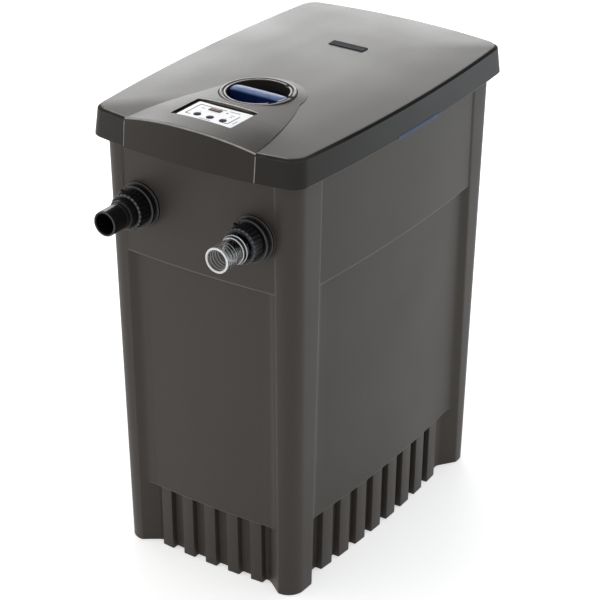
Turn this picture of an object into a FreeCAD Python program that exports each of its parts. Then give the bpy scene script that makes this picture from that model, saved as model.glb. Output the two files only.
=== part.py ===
"""Pond filter box with a lift-off lid, a UV clarifier, a sludge pump and two hose unions.

Frame: millimetres, +X to the right seen from the front, -Y out of the front wall, +Z up.
The origin is on the ground, at the middle of the tank's footprint.
"""

import FreeCAD, Part
import math
import os
from types import SimpleNamespace

import Sketcher

os.makedirs("parts", exist_ok=True)
DOC = FreeCAD.newDocument("pond_filter")
V = FreeCAD.Vector

SIZES = {
    # Tank
    "base_half_width": 154.6,
    "base_half_length": 251.8,
    "side_draft": 0.0152,
    "end_draft": 0.0179,
    "side_bow": 13.7,
    "end_bow": 7.7,
    "side_swell": 7.0,
    "end_swell": 3.9,
    "tank_wall": 3.5,
    "tank_floor": 5.0,
    "rim_height": 695.0,
    "panel_corner_radius": 22.0,
    "ledge_drop": 199.6,
    "ledge_depth": 8.4,
    "rib_height": 104.6,
    "rib_set_back": 1.5,
    "rib_depth": 10.0,
    "front_rib_width": 20.0,
    "front_rib_pitch": 41.0,
    "side_rib_width": 25.0,
    "side_rib_pitch": 43.0,
    "pillar_radius": 26.0,
    "pillar_slant": 0.73,
    "pillar_root": 4.1,
    "pillar_front_width": 27.5,
    "pillar_front_growth": 0.0105,
    "pillar_side_width": 48.2,
    "pillar_side_growth": 0.0233,
    "pillar_rear_width": 34.0,
    "pillar_rear_growth": 0.031,
    "bead_drop": 7.0,
    "bead_thickness": 4.0,
    "bead_reach": 3.0,
    "boss_proud": 1.8,
    "boss_depth": 8.0,
    # Lid
    "lid_side_overhang": 18.2,
    "lid_end_overhang": 22.3,
    "lid_side_bow": 13.4,
    "lid_end_bow": 16.9,
    "lid_corner_radius": 25.0,
    "skirt_overlap": 26.3,
    "skirt_depth": 37.6,
    "skirt_inset": 3.4,
    "lid_wall": 3.2,
    "edge_inset": 6.0,
    "edge_rise": 4.6,
    "shoulder_inset": 24.0,
    "shoulder_rise": 7.4,
    "crown_inset": 80.0,
    "crown_rise": 10.4,
    "gasket_thickness": 2.7,
    "seat_rib_width": 4.0,
    # Console on the lid
    "console_front_width": 109.0,
    "console_front_rise": 16.6,
    "console_mid_width": 101.0,
    "console_mid_rise": 15.4,
    "console_mid_set_back": 42.0,
    "console_rear_rise": 4.9,
    "console_edge_proud": 0.6,
    "console_skin": 1.8,
    "recess_left_gap": 6.8,
    "recess_rear_gap": 5.0,
    "panel_set_back": 71.3,
    "panel_length": 91.6,
    "panel_width": 55.6,
    "panel_thickness": 1.8,
    "panel_rise": 1.3,
    "housing_wall": 3.0,
    "housing_rim": 1.0,
    "housing_depth": 26.0,
    "housing_proud": 2.4,
    "board_thickness": 1.6,
    "button_radius": 5.4,
    "button_pitch": 21.5,
    "button_offset": 11.5,
    "button_height": 3.4,
    "button_travel": 0.8,
    "display_length": 20.0,
    "display_width": 8.0,
    "display_across": 8.0,
    "display_back": 12.5,
    "display_thickness": 0.9,
    "nameplate_length": 60.0,
    "nameplate_width": 16.0,
    "nameplate_thickness": 1.2,
    "nameplate_place": 115.0,
    "screw_head_radius": 3.6,
    "screw_head_height": 2.2,
    "screw_radius": 1.6,
    "screw_across": 66.0,
    "screw_front_set_back": 100.0,
    "screw_rear_set_back": 118.0,
    # Latches
    "latch_length": 106.0,
    "latch_place": 7.0,
    "latch_thickness": 2.5,
    "latch_tab_height": 4.0,
    "latch_nose": 3.0,
    "guide_radius": 2.0,
    "guide_spacing": 70.0,
    "guide_rise": 9.8,
    # Ultraviolet clarifier
    "uvc_set_back": 173.0,
    "ring_radius": 55.0,
    "ring_bore": 45.0,
    "ring_proud": 4.8,
    "ring_depth": 17.0,
    "ring_flange": 60.0,
    "ring_flange_thickness": 2.6,
    "uvc_housing_radius": 46.0,
    "uvc_housing_wall": 4.0,
    "uvc_seat_drop": 7.0,
    "uvc_housing_length": 358.0,
    "uvc_port_radius": 15.0,
    "uvc_drain_rise": 30.0,
    "head_radius": 43.0,
    "head_neck_radius": 41.0,
    "head_height": 9.0,
    "head_plug_depth": 30.0,
    "head_collar_height": 3.0,
    "sleeve_radius": 16.0,
    "sleeve_wall": 1.6,
    "sleeve_length": 270.0,
    "lamp_radius": 8.0,
    "lamp_length": 225.0,
    "socket_radius": 12.0,
    "socket_height": 26.0,
    "seal_section": 2.0,
    "grip_disc_radius": 43.0,
    "grip_disc_thickness": 2.4,
    "grip_half_width": 10.5,
    "grip_drop": 0.8,
    "bracket_height": 24.0,
    "bracket_width": 60.0,
    "bracket_low_rise": 70.0,
    "bracket_high_rise": 260.0,
    "bracket_reach": 29.0,
    # Hose unions on the front wall
    "union_across": 97.0,
    "union_drop": 117.0,
    "spigot_radius": 22.0,
    "bore_radius": 15.0,
    "flange_radius": 34.0,
    "flange_thickness": 4.2,
    "neck_radius": 27.0,
    "neck_length": 3.2,
    "collar_radius": 32.0,
    "collar_length": 7.0,
    "spigot_length": 13.5,
    "spigot_inside": 14.0,
    "lock_nut_radius": 31.0,
    "lock_nut_height": 8.0,
    "flat_seal_thickness": 2.0,
    "tail_flange_thickness": 3.5,
    "tail_collar_radius": 21.0,
    "tail_collar_length": 14.7,
    "tail_radius": 18.5,
    "tail_chamfer": 0.6,
    "tail_chamfer_length": 1.5,
    "inlet_tail_length": 35.0,
    "sludge_tail_length": 40.0,
    "nut_radius": 27.0,
    "nut_lip": 3.6,
    "nut_skirt": 12.5,
    "nut_flutes": 24,
    "flute_radius": 2.0,
    "flute_depth": 1.0,
    "thread_clearance": 0.35,
    "pipe_wall": 3.0,
    "elbow_bend": 40.0,
    # Sludge pump
    "pump_set_back": 68.0,
    "pump_radius": 34.0,
    "strainer_height": 24.0,
    "strainer_wall": 2.5,
    "strainer_slots": 16,
    "strainer_slot_width": 5.0,
    "volute_height": 30.0,
    "volute_wall": 4.0,
    "motor_radius": 31.0,
    "motor_height": 78.0,
    "eye_radius": 10.0,
    "impeller_radius": 25.0,
    "impeller_hub": 8.0,
    "impeller_vanes": 6,
    "vane_thickness": 2.0,
    "vane_height": 14.0,
    "shaft_radius": 3.0,
    "shaft_length": 58.0,
    "shaft_fit": 0.05,
    "riser_gap": 24.3,
    "riser_bend": 22.0,
    # Foams
    "partition_thickness": 4.0,
    "partition_drop": 55.0,
    "overflow_height": 24.0,
    "grid_thickness": 6.0,
    "grid_slot_width": 10.0,
    "grid_slot_pitch": 24.0,
    "foam_side_gap": 24.6,
    "foam_front_gap": 8.0,
    "foam_rear_gap": 23.8,
    "foam_thickness": 60.0,
    "foam_layers": 3,
    "foam_gap": 0.3,
    "support_radius": 20.0,
    "support_wall": 2.5,
    "support_across": 60.0,
    "support_place": 100.0,
    "support_height": 392.0,
    "retainer_thickness": 6.0,
    "retainer_window": 60.0,
    # Rear outlet and cable gland
    "outlet_height": 170.0,
    "outlet_radius": 37.5,
    "outlet_wall": 3.2,
    "outlet_flange_radius": 50.0,
    "outlet_flange_thickness": 5.0,
    "outlet_length": 60.0,
    "outlet_inside": 13.0,
    "outlet_nut_radius": 49.0,
    "outlet_nut_height": 10.0,
    "gland_across": 118.0,
    "gland_drop": 65.0,
    "gland_radius": 11.0,
    "gland_bore": 4.0,
    "gland_body": 7.5,
    "gland_length": 16.0,
    "gland_inside": 14.0,
    # Shared fits
    "running_gap": 0.3,
    "slip_fit": 0.2,
}


class Size:
    """A size from the sheet, or one worked out from several: its value and its expression."""

    def __init__(self, value, text):
        self.value = float(value)
        self.text = text

    def __float__(self):
        return self.value

    def joined(self, other, sign, value, other_first=False):
        other_text = other.text if isinstance(other, Size) else repr(other)
        left, right = (other_text, self.text) if other_first else (self.text, other_text)
        return Size(value, f"({left} {sign} {right})")

    def __add__(self, other):
        return self.joined(other, "+", self.value + float(other))

    def __radd__(self, other):
        return self.joined(other, "+", self.value + float(other), True)

    def __sub__(self, other):
        return self.joined(other, "-", self.value - float(other))

    def __rsub__(self, other):
        return self.joined(other, "-", float(other) - self.value, True)

    def __mul__(self, other):
        return self.joined(other, "*", self.value * float(other))

    def __rmul__(self, other):
        return self.joined(other, "*", self.value * float(other), True)

    def __truediv__(self, other):
        return self.joined(other, "/", self.value / float(other))

    def __neg__(self):
        return self * -1


def make_sheet():
    """Keep every driving size in one sheet and give each as a Size by its name."""
    sheet = DOC.addObject("Spreadsheet::Sheet", "Sizes")
    for row, (name, value) in enumerate(SIZES.items(), start=1):
        sheet.set(f"A{row}", name)
        sheet.set(f"B{row}", str(value))
        sheet.setAlias(f"B{row}", name)
    DOC.recompute()
    return SimpleNamespace(**{name: Size(sheet.get(name), f"Sizes.{name}") for name in SIZES})


S = make_sheet()
PIECES = []

# Heights and places that follow from the sheet
GROUND = 0
FLUSH = 0
SKIRT_LOW = S.rim_height - S.skirt_overlap
SKIRT_TOP = SKIRT_LOW + S.skirt_depth
LID_TOP = SKIRT_TOP + S.crown_rise
LID_UNDERSIDE = LID_TOP - S.lid_wall
LID_HALF_WIDTH = S.base_half_width + S.side_draft * SKIRT_LOW + S.side_swell + S.lid_side_overhang
LID_HALF_LENGTH = S.base_half_length + S.end_draft * SKIRT_LOW + S.end_swell + S.lid_end_overhang
LEDGE_HEIGHT = S.rim_height - S.ledge_drop
UNION_HEIGHT = S.rim_height - S.union_drop
GLAND_HEIGHT = S.rim_height - S.gland_drop
BEAD_LOW = S.rim_height - S.bead_drop
GUIDE_HEIGHT = SKIRT_LOW + S.guide_rise
CONSOLE_MID = LID_HALF_LENGTH - S.console_mid_set_back
UVC_PLACE = LID_HALF_LENGTH - S.uvc_set_back
UVC_SEAT = S.rim_height - S.uvc_seat_drop
UVC_LOW = UVC_SEAT - S.uvc_housing_length
UVC_DRAIN = UVC_LOW + S.uvc_drain_rise
PARTITION_PLACE = UVC_PLACE - S.uvc_housing_radius - S.bracket_reach - S.partition_thickness
RING_TOP = LID_TOP + S.ring_proud
GRIP_TOP = RING_TOP - S.grip_drop
PANEL_PLACE = LID_HALF_LENGTH - S.panel_set_back
PANEL_LOW = LID_TOP + S.panel_rise
HOUSING_LOW = PANEL_LOW - S.housing_depth
HOUSING_TOP = LID_TOP + S.housing_proud
HOUSING_HALF_LENGTH = S.panel_length / 2 + S.slip_fit + S.housing_rim
HOUSING_HALF_WIDTH = S.panel_width / 2 + S.slip_fit + S.housing_rim
SCREW_FRONT = LID_HALF_LENGTH - S.screw_front_set_back
SCREW_REAR = LID_HALF_LENGTH - S.screw_rear_set_back
PARTITION_TOP = S.rim_height - S.partition_drop
FOAM_HALF_WIDTH = S.base_half_width - S.foam_side_gap
FOAM_FRONT = PARTITION_PLACE - S.foam_front_gap
FOAM_REAR = S.base_half_length - S.foam_rear_gap
BASE_END = S.base_half_length + S.end_swell - S.ledge_depth - S.rib_set_back - S.rib_depth - S.tank_wall
RISER_PLACE = BASE_END - S.riser_gap
PUMP_PLACE = RISER_PLACE - S.pump_set_back


# ---------------------------------------------------------------- ways of making a piece


def bind(thing, name, length):
    """Tie a property to a size, or set it where it is a plain number."""
    if isinstance(length, Size):
        thing.setExpression(name, length.text)
    else:
        thing.setExpression(name, repr(length))


def place(thing, x=0, y=0, z=0, turn=None):
    """Put a piece at a point of the frame; turn is an axis and an angle in degrees."""
    rotation = FreeCAD.Rotation(V(*turn[0]), turn[1]) if turn else FreeCAD.Rotation()
    thing.Placement = FreeCAD.Placement(V(float(x), float(y), float(z)), rotation)
    for axis, length in (("x", x), ("y", y), ("z", z)):
        bind(thing, f"Placement.Base.{axis}", length)
    return thing


def finished(thing, label):
    """Name a piece and keep it for the export."""
    thing.Label = label
    PIECES.append(thing)
    return thing


def new_sketch(body, name, role):
    """A sketch on one of the body's own origin planes."""
    sketch = body.newObject("Sketcher::SketchObject", name)
    plane = next(item for item in body.Origin.OriginFeatures if item.Role == role)
    sketch.AttachmentSupport = [(plane, "")]
    sketch.MapMode = "FlatFace"
    return sketch


def hold(sketch, kind, first, second, length):
    """Add one distance to the sketch and tie it to its size."""
    number = sketch.addConstraint(Sketcher.Constraint(kind, *first, *second, float(length)))
    if isinstance(length, Size):
        sketch.setExpression(f"Constraints[{number}]", length.text)


def draw_outline(sketch, points):
    """Draw a closed outline of straight lines, each corner held from the sketch's origin."""
    corners = [V(float(x), float(y), 0) for x, y in points]
    lines = [Part.LineSegment(a, b) for a, b in zip(corners, corners[1:] + corners[:1])]
    first = sketch.GeometryCount
    sketch.addGeometry(lines, False)
    for index, (across, along) in enumerate(points):
        line = first + index
        following = first + (index + 1) % len(points)
        sketch.addConstraint(Sketcher.Constraint("Coincident", line, 2, following, 1))
        hold(sketch, "DistanceX", (-1, 1), (line, 1), across)
        hold(sketch, "DistanceY", (-1, 1), (line, 1), along)


def draw_circle(sketch, x, y, radius):
    """Draw a circle held by its centre and its radius."""
    circle = Part.Circle(V(float(x), float(y), 0), V(0, 0, 1), float(radius))
    number = sketch.addGeometry(circle, False)
    hold(sketch, "DistanceX", (-1, 1), (number, 3), x)
    hold(sketch, "DistanceY", (-1, 1), (number, 3), y)
    hold(sketch, "Radius", (number,), (), radius)


def draw_rectangle(sketch, x_low, x_high, y_low, y_high):
    """Draw a rectangle between two pairs of sides."""
    draw_outline(sketch, ((x_low, y_low), (x_high, y_low), (x_high, y_high), (x_low, y_high)))


def turned_body(label, profile):
    """A body turned about its own Z axis; the profile lists (radius, height) corners."""
    body = DOC.addObject("PartDesign::Body", label)
    sketch = new_sketch(body, f"{label}_profile", "XZ_Plane")
    draw_outline(sketch, profile)
    turn = body.newObject("PartDesign::Revolution", f"{label}_turned")
    turn.Profile = sketch
    turn.ReferenceAxis = (sketch, ["V_Axis"])
    turn.Angle = 360
    sketch.Visibility = False
    return finished(body, label)


def padded_body(label, draw, height):
    """A body padded up its own Z axis; draw puts the outline in the sketch it is given."""
    body = DOC.addObject("PartDesign::Body", label)
    sketch = new_sketch(body, f"{label}_outline", "XY_Plane")
    draw(sketch)
    pad = body.newObject("PartDesign::Pad", f"{label}_pad")
    pad.Profile = sketch
    bind(pad, "Length", height)
    return finished(body, label)


def pocket_through(body, name, draw):
    """Cut an outline drawn on the body's XY plane right through it, both ways."""
    sketch = new_sketch(body, f"{name}_outline", "XY_Plane")
    draw(sketch)
    pocket = body.newObject("PartDesign::Pocket", name)
    pocket.Profile = sketch
    pocket.Midplane = True
    pocket.Type = 1
    DOC.recompute()
    return pocket


def polar_pattern(body, feature, count):
    """Repeat a feature evenly about the body's own Z axis."""
    pattern = body.newObject("PartDesign::PolarPattern", f"{feature.Name}_pattern")
    pattern.Originals = [feature]
    axis = next(item for item in body.Origin.OriginFeatures if item.Role == "Z_Axis")
    pattern.Axis = (axis, [""])
    pattern.Angle = 360
    pattern.Occurrences = int(float(count))
    bind(pattern, "Occurrences", count)
    body.Tip = pattern
    return pattern


def shaped(label, shape):
    """A piece whose shape is worked out here from the sheet's sizes."""
    piece = DOC.addObject("Part::Feature", label)
    piece.Shape = shape
    return finished(piece, label)


def block(x_low, x_high, y_low, y_high, z_low, z_high):
    """A plain block between three pairs of faces."""
    lows = [float(value) for value in (x_low, y_low, z_low)]
    highs = [float(value) for value in (x_high, y_high, z_high)]
    return Part.makeBox(*[high - low for low, high in zip(lows, highs)], V(*lows))


def rod(radius, start, end):
    """A round rod between two points."""
    axis = V(*[float(value) for value in end]) - V(*[float(value) for value in start])
    return Part.makeCylinder(float(radius), axis.Length, V(*[float(value) for value in start]), axis)


def bent_rod(radius, corners, bend):
    """A round rod along straight runs joined by tangent arcs of one radius."""
    points = [V(*[float(value) for value in corner]) for corner in corners]
    edges = []
    start = points[0]
    for before, corner, after in zip(points, points[1:], points[2:]):
        back = (before - corner).normalize()
        ahead = (after - corner).normalize()
        reach = float(bend) / math.tan(back.getAngle(ahead) / 2)
        leave = corner + back * reach
        meet = corner + ahead * reach
        centre_way = (back + ahead).normalize()
        centre = corner + centre_way * math.hypot(float(bend), reach)
        middle = centre - centre_way * float(bend)
        edges.append(Part.LineSegment(start, leave).toShape())
        edges.append(Part.Arc(leave, middle, meet).toShape())
        start = meet
    edges.append(Part.LineSegment(start, points[-1]).toShape())
    path = Part.Wire(edges)
    circle = Part.Wire(Part.makeCircle(float(radius), points[0], points[1] - points[0]))
    return path.makePipeShell([circle], True, True)


# ---------------------------------------------------------------- plan of the tank and the lid


def bowed_plan(mid_x, mid_y, bow_x, bow_y, radius, z):
    """A closed plan of four outward-bowed sides with round corners.

    mid_x and mid_y are the half sizes at the middle of each side, and each bow is how much
    further out the middle is than the sharp corner. Each side is one arc; each corner is an
    arc tangent to both sides, whose centre lies one radius inside both of them.
    """
    mid_x, mid_y, bow_x, bow_y, radius, z = map(float, (mid_x, mid_y, bow_x, bow_y, radius, z))
    side_radius = ((mid_y - bow_y) ** 2 + bow_x ** 2) / (2 * bow_x)
    end_radius = ((mid_x - bow_x) ** 2 + bow_y ** 2) / (2 * bow_y)
    side_centre = V(mid_x - side_radius, 0, 0)
    end_centre = V(0, mid_y - end_radius, 0)
    between = end_centre - side_centre
    apart = between.Length
    along = ((side_radius - radius) ** 2 - (end_radius - radius) ** 2 + apart ** 2) / (2 * apart)
    across = math.sqrt((side_radius - radius) ** 2 - along ** 2)
    way = between.normalize()
    corner_centre = side_centre + way * along + V(way.y, -way.x, 0) * across
    if corner_centre.x < 0 or corner_centre.y < 0:
        corner_centre = side_centre + way * along - V(way.y, -way.x, 0) * across
    side_end = side_centre + (corner_centre - side_centre).normalize() * side_radius
    end_end = end_centre + (corner_centre - end_centre).normalize() * end_radius
    outward = ((side_end - corner_centre) + (end_end - corner_centre)).normalize()
    corner_mid = corner_centre + outward * radius

    def at(point, flip_x, flip_y):
        return V(point.x * flip_x, point.y * flip_y, z)

    arcs = []
    for flip_x, flip_y in ((1, 1), (-1, 1), (-1, -1), (1, -1)):
        first, last = (side_end, end_end) if flip_x == flip_y else (end_end, side_end)
        arcs.append([at(first, flip_x, flip_y), at(corner_mid, flip_x, flip_y), at(last, flip_x, flip_y)])
    middles = (V(0, mid_y, z), V(-mid_x, 0, z), V(0, -mid_y, z), V(mid_x, 0, z))
    edges = []
    for index, middle in enumerate(middles):
        edges.append(Part.Arc(*arcs[index]).toShape())
        following = arcs[(index + 1) % 4]
        edges.append(Part.Arc(arcs[index][2], middle, following[0]).toShape())
    return Part.Wire(edges)


def tank_plan(inset, z):
    """The plan of the tank's upper wall at a height, moved in by an inset."""
    mid_x = S.base_half_width + S.side_draft * z + S.side_swell - inset
    mid_y = S.base_half_length + S.end_draft * z + S.end_swell - inset
    return bowed_plan(mid_x, mid_y, S.side_bow, S.end_bow, S.panel_corner_radius, z)


def tank_block(inset, low, high):
    """A drafted, bowed block with the tank's plan between two heights."""
    return Part.makeLoft([tank_plan(inset, low), tank_plan(inset, high)], True, True)


def tank_hollow(inset):
    """The inside of the tank in three steps: upper wall, lower wall and ribbed base."""
    lower = S.ledge_depth + inset
    base = S.ledge_depth + S.rib_set_back + S.rib_depth + inset
    shelf = S.rib_height + S.tank_wall
    step = LEDGE_HEIGHT + S.tank_wall
    upper_part = tank_block(inset, step, S.rim_height + 1)
    lower_part = tank_block(lower, shelf, step)
    base_part = tank_block(base, S.tank_floor, shelf)
    return upper_part.fuse([lower_part, base_part]).removeSplitter()


def pillar(side, end):
    """One corner pillar: a drafted post, round outside, whose faces slant in to the walls."""
    side_width = S.pillar_side_width if end < 0 else S.pillar_rear_width
    side_growth = S.pillar_side_growth if end < 0 else S.pillar_rear_growth

    def section(z):
        half_x = float(S.base_half_width + S.side_draft * z)
        half_y = float(S.base_half_length + S.end_draft * z)
        in_x = half_x - float(S.pillar_front_width + S.pillar_front_growth * z)
        in_y = half_y - float(side_width + side_growth * z)
        radius = float(S.pillar_radius)
        turn = radius * (1 - math.sqrt(0.5))
        depth = float(S.ledge_depth + S.rib_set_back + S.rib_depth + S.pillar_root)
        reach = depth / float(S.pillar_slant)
        corners = [(half_x - depth, in_y - reach), (half_x, in_y), (half_x, half_y - radius),
                   (half_x - turn, half_y - turn), (half_x - radius, half_y), (in_x, half_y),
                   (in_x - reach, half_y - depth)]
        points = [V(side * x, end * y, float(z)) for x, y in corners]
        edges = [Part.LineSegment(points[0], points[1]).toShape(),
                 Part.LineSegment(points[1], points[2]).toShape(),
                 Part.Arc(*points[2:5]).toShape(),
                 Part.LineSegment(points[4], points[5]).toShape(),
                 Part.LineSegment(points[5], points[6]).toShape(),
                 Part.LineSegment(points[6], points[0]).toShape()]
        return Part.Wire(edges)

    return Part.makeLoft([section(GROUND), section(S.rim_height)], True, True)


def ribs():
    """The upright ribs round the foot of the tank, between the pillars."""
    across = S.base_half_width * 2
    along = S.base_half_length * 2
    bars = []
    for index in range(-2, 3):
        middle = S.front_rib_pitch * index
        bars.append(block(middle - S.front_rib_width / 2, middle + S.front_rib_width / 2,
                          -along, along, 0, S.rib_height))
    for index in range(8):
        middle = S.side_rib_pitch * (index - 3.5)
        bars.append(block(-across, across, middle - S.side_rib_width / 2,
                          middle + S.side_rib_width / 2, 0, S.rib_height))
    body = tank_block(S.ledge_depth + S.rib_set_back, GROUND, S.rib_height)
    return bars[0].fuse(bars[1:]).common(body)


def wall_place(height, across, inset):
    """How far out the end wall's outer face is at a height and at a distance off its middle."""
    half_width = S.base_half_width + S.side_draft * height
    droop = S.end_bow * across * across / (half_width * half_width)
    return S.base_half_length + S.end_draft * height + S.end_swell - droop - inset


FRONT_FACE = wall_place(UNION_HEIGHT, S.union_across, 0) + S.boss_proud
REAR_FACE = wall_place(S.outlet_height, FLUSH, S.ledge_depth) + S.boss_proud
GLAND_FACE = wall_place(GLAND_HEIGHT, S.gland_across, 0) + S.boss_proud


def make_tank_shell():
    """The tank: bowed walls with a ledge, four pillars, ribs, a rim bead and flat bosses."""
    upper = tank_block(FLUSH, LEDGE_HEIGHT, S.rim_height)
    lower = tank_block(S.ledge_depth, S.rib_height, LEDGE_HEIGHT)
    base = tank_block(S.ledge_depth + S.rib_set_back + S.rib_depth, GROUND, S.rib_height)
    bead = tank_block(-S.bead_reach, BEAD_LOW, BEAD_LOW + S.bead_thickness)
    pillars = [pillar(side, end) for side in (-1, 1) for end in (-1, 1)]
    shell = upper.fuse([lower, base, ribs(), bead] + pillars)
    shell = shell.cut(tank_hollow(S.tank_wall))
    bosses = []
    holes = []
    for side in (-1, 1):
        axis = [side * S.union_across, UNION_HEIGHT]
        bosses.append(rod(S.flange_radius + 1, (axis[0], S.boss_depth - FRONT_FACE, axis[1]),
                          (axis[0], -FRONT_FACE, axis[1])))
        holes.append(rod(S.spigot_radius + S.slip_fit, (axis[0], -FRONT_FACE - 1, axis[1]),
                         (axis[0], 2 * S.boss_depth - FRONT_FACE, axis[1])))
    bosses.append(rod(S.outlet_flange_radius + 1, (0, REAR_FACE - S.boss_depth, S.outlet_height),
                      (0, REAR_FACE, S.outlet_height)))
    holes.append(rod(S.outlet_radius + S.slip_fit, (0, REAR_FACE - 2 * S.boss_depth, S.outlet_height),
                     (0, REAR_FACE + 1, S.outlet_height)))
    bosses.append(rod(S.gland_radius + 1, (S.gland_across, GLAND_FACE - S.boss_depth, GLAND_HEIGHT),
                      (S.gland_across, GLAND_FACE, GLAND_HEIGHT)))
    holes.append(rod(S.gland_body + S.slip_fit,
                     (S.gland_across, GLAND_FACE - 2 * S.boss_depth, GLAND_HEIGHT),
                     (S.gland_across, GLAND_FACE + 1, GLAND_HEIGHT)))
    shell = shell.fuse(bosses).cut(Part.makeCompound(holes))
    shaped("tank_shell", shell.removeSplitter())


def make_rim_gasket():
    """The rubber gasket that lies on the tank's rim."""
    low = S.rim_height
    high = low + S.gasket_thickness
    ring = tank_block(S.slip_fit, low, high).cut(tank_block(S.tank_wall, low - 1, high + 1))
    shaped("rim_gasket", ring)


# ---------------------------------------------------------------- lid


def lid_plan(inset, z):
    """The lid's plan, moved in by an inset."""
    radius = max(float(S.lid_corner_radius - inset), 4.0)
    return bowed_plan(LID_HALF_WIDTH - inset, LID_HALF_LENGTH - inset, S.lid_side_bow,
                      S.lid_end_bow, radius, z)


def lid_block(inset, drop):
    """The lid as a closed block: skirt, round edge, shoulder and crown, moved in and down."""
    bottom = SKIRT_LOW - drop * 3
    plans = [lid_plan(inset, bottom)]
    plans.append(lid_plan(S.skirt_inset + inset, SKIRT_TOP - drop))
    for step_in, rise in ((S.edge_inset, S.edge_rise), (S.shoulder_inset, S.shoulder_rise),
                          (S.crown_inset, S.crown_rise)):
        plans.append(lid_plan(S.skirt_inset + step_in + inset, SKIRT_TOP + rise - drop))
    return Part.makeLoft(plans, True, True)


def arch(half_width, edge_height, rise, place_y):
    """One cross-section of the console: upright sides under a round arch."""
    half, edge, top, y = float(half_width), float(edge_height), float(edge_height + rise), float(place_y)
    bottom = float(SKIRT_LOW) - 1
    corners = [V(half, y, edge), V(0, y, top), V(-half, y, edge)]
    low = [V(-half, y, bottom), V(half, y, bottom)]
    return Part.Wire([Part.Arc(*corners).toShape(), Part.LineSegment(corners[2], low[0]).toShape(),
                      Part.LineSegment(low[0], low[1]).toShape(),
                      Part.LineSegment(low[1], corners[0]).toShape()])


def console_tongue():
    """The raised tongue from in front of the skirt back to the round well."""
    front = arch(S.console_front_width, SKIRT_TOP, S.console_front_rise, -LID_HALF_LENGTH - 5)
    mid_edge = SKIRT_TOP + S.shoulder_rise + S.console_edge_proud
    mid_rise = S.console_mid_rise - S.shoulder_rise
    middle = arch(S.console_mid_width, mid_edge, mid_rise, -CONSOLE_MID)
    rear_edge = LID_TOP + S.console_edge_proud
    rear = arch(S.ring_flange, rear_edge, S.console_rear_rise - S.console_edge_proud, -UVC_PLACE)
    tongue = Part.makeLoft([front, middle, rear], True, True)
    end = rod(S.ring_flange, (0, -UVC_PLACE, SKIRT_LOW - 1), (0, -UVC_PLACE, rear_edge))
    return tongue.fuse(end)


def skirt_prism():
    """The skirt's drafted outside, carried on upwards past the lid."""
    return Part.makeLoft([lid_plan(FLUSH, SKIRT_LOW),
                          lid_plan(S.skirt_inset * 2, SKIRT_TOP + S.skirt_depth)], True, True)


def latch_guides(side):
    """The two round guides on the skirt that a latch slides on."""
    inner = BEAD_FACE + S.running_gap
    outer = LID_HALF_WIDTH - S.skirt_inset / 2 - S.lid_wall / 2
    places = [S.latch_place - S.guide_spacing / 2, S.latch_place + S.guide_spacing / 2]
    return [rod(S.guide_radius, (side * inner, y, GUIDE_HEIGHT), (side * outer, y, GUIDE_HEIGHT))
            for y in places]


def make_lid():
    """The lid's shell with its seat rib, latch guides and openings, and the console on it."""
    outer = lid_block(FLUSH, FLUSH)
    tongue = console_tongue().cut(lid_block(S.console_skin, S.console_skin))
    console = tongue.common(skirt_prism())
    shell = outer.cut(lid_block(S.lid_wall, S.lid_wall))
    seat = S.rim_height + S.gasket_thickness + S.running_gap
    rib = tank_block(S.slip_fit, seat, LID_TOP).cut(tank_block(S.seat_rib_width, seat - 1, LID_TOP + 1))
    rib = rib.common(outer)
    guides = latch_guides(-1) + latch_guides(1)
    shell = shell.fuse([rib] + guides).cut(tongue)
    well = rod(S.ring_radius + S.slip_fit, (0, -UVC_PLACE, S.rim_height),
               (0, -UVC_PLACE, LID_TOP + S.skirt_depth))
    half_length = HOUSING_HALF_LENGTH + S.slip_fit
    half_width = HOUSING_HALF_WIDTH + S.slip_fit
    slot = block(-half_length, half_length, -PANEL_PLACE - half_width, -PANEL_PLACE + half_width,
                 S.rim_height, LID_TOP + S.skirt_depth)
    recess = block(-half_length - S.recess_left_gap, half_length, -PANEL_PLACE - half_width,
                   -PANEL_PLACE + half_width + S.recess_rear_gap,
                   S.rim_height, LID_TOP + S.skirt_depth)
    notches = []
    tab_top = SKIRT_LOW + S.running_gap + S.latch_tab_height + S.running_gap
    half_latch = S.latch_length / 2 + S.running_gap
    for low, high in ((-LID_HALF_WIDTH - 1, -S.base_half_width), (S.base_half_width, LID_HALF_WIDTH + 1)):
        notches.append(block(low, high, S.latch_place - half_latch, S.latch_place + half_latch,
                             SKIRT_LOW - 1, tab_top))
    screw_holes = [rod(S.screw_radius, (x, y, S.rim_height), (x, y, LID_TOP)) for x, y in screw_places()]
    openings = Part.makeCompound([well, slot] + notches)
    shaped("lid_shell", shell.cut(openings).cut(Part.makeCompound(screw_holes)).removeSplitter())
    blind = [rod(S.screw_radius, (x, y, S.rim_height), (x, y, LID_TOP + S.console_skin))
             for x, y in screw_places()]
    shaped("console_cover", console.cut(Part.makeCompound([well, recess] + blind)))


def screw_places():
    """The four places of the screws that hold the console from below."""
    return [(side * S.screw_across, -y) for side in (-1, 1) for y in (SCREW_FRONT, SCREW_REAR)]


def make_console_screws():
    """Four screws up through the lid into the console."""
    screws = []
    for x, y in screw_places():
        head = rod(S.screw_head_radius, (x, y, LID_UNDERSIDE - S.screw_head_height), (x, y, LID_UNDERSIDE))
        shank = rod(S.screw_radius, (x, y, LID_UNDERSIDE - S.screw_head_height / 2),
                    (x, y, LID_TOP + S.console_skin))
        screws.append(head.fuse(shank).removeSplitter())
    shaped("console_screws", Part.makeCompound(screws))


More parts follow.
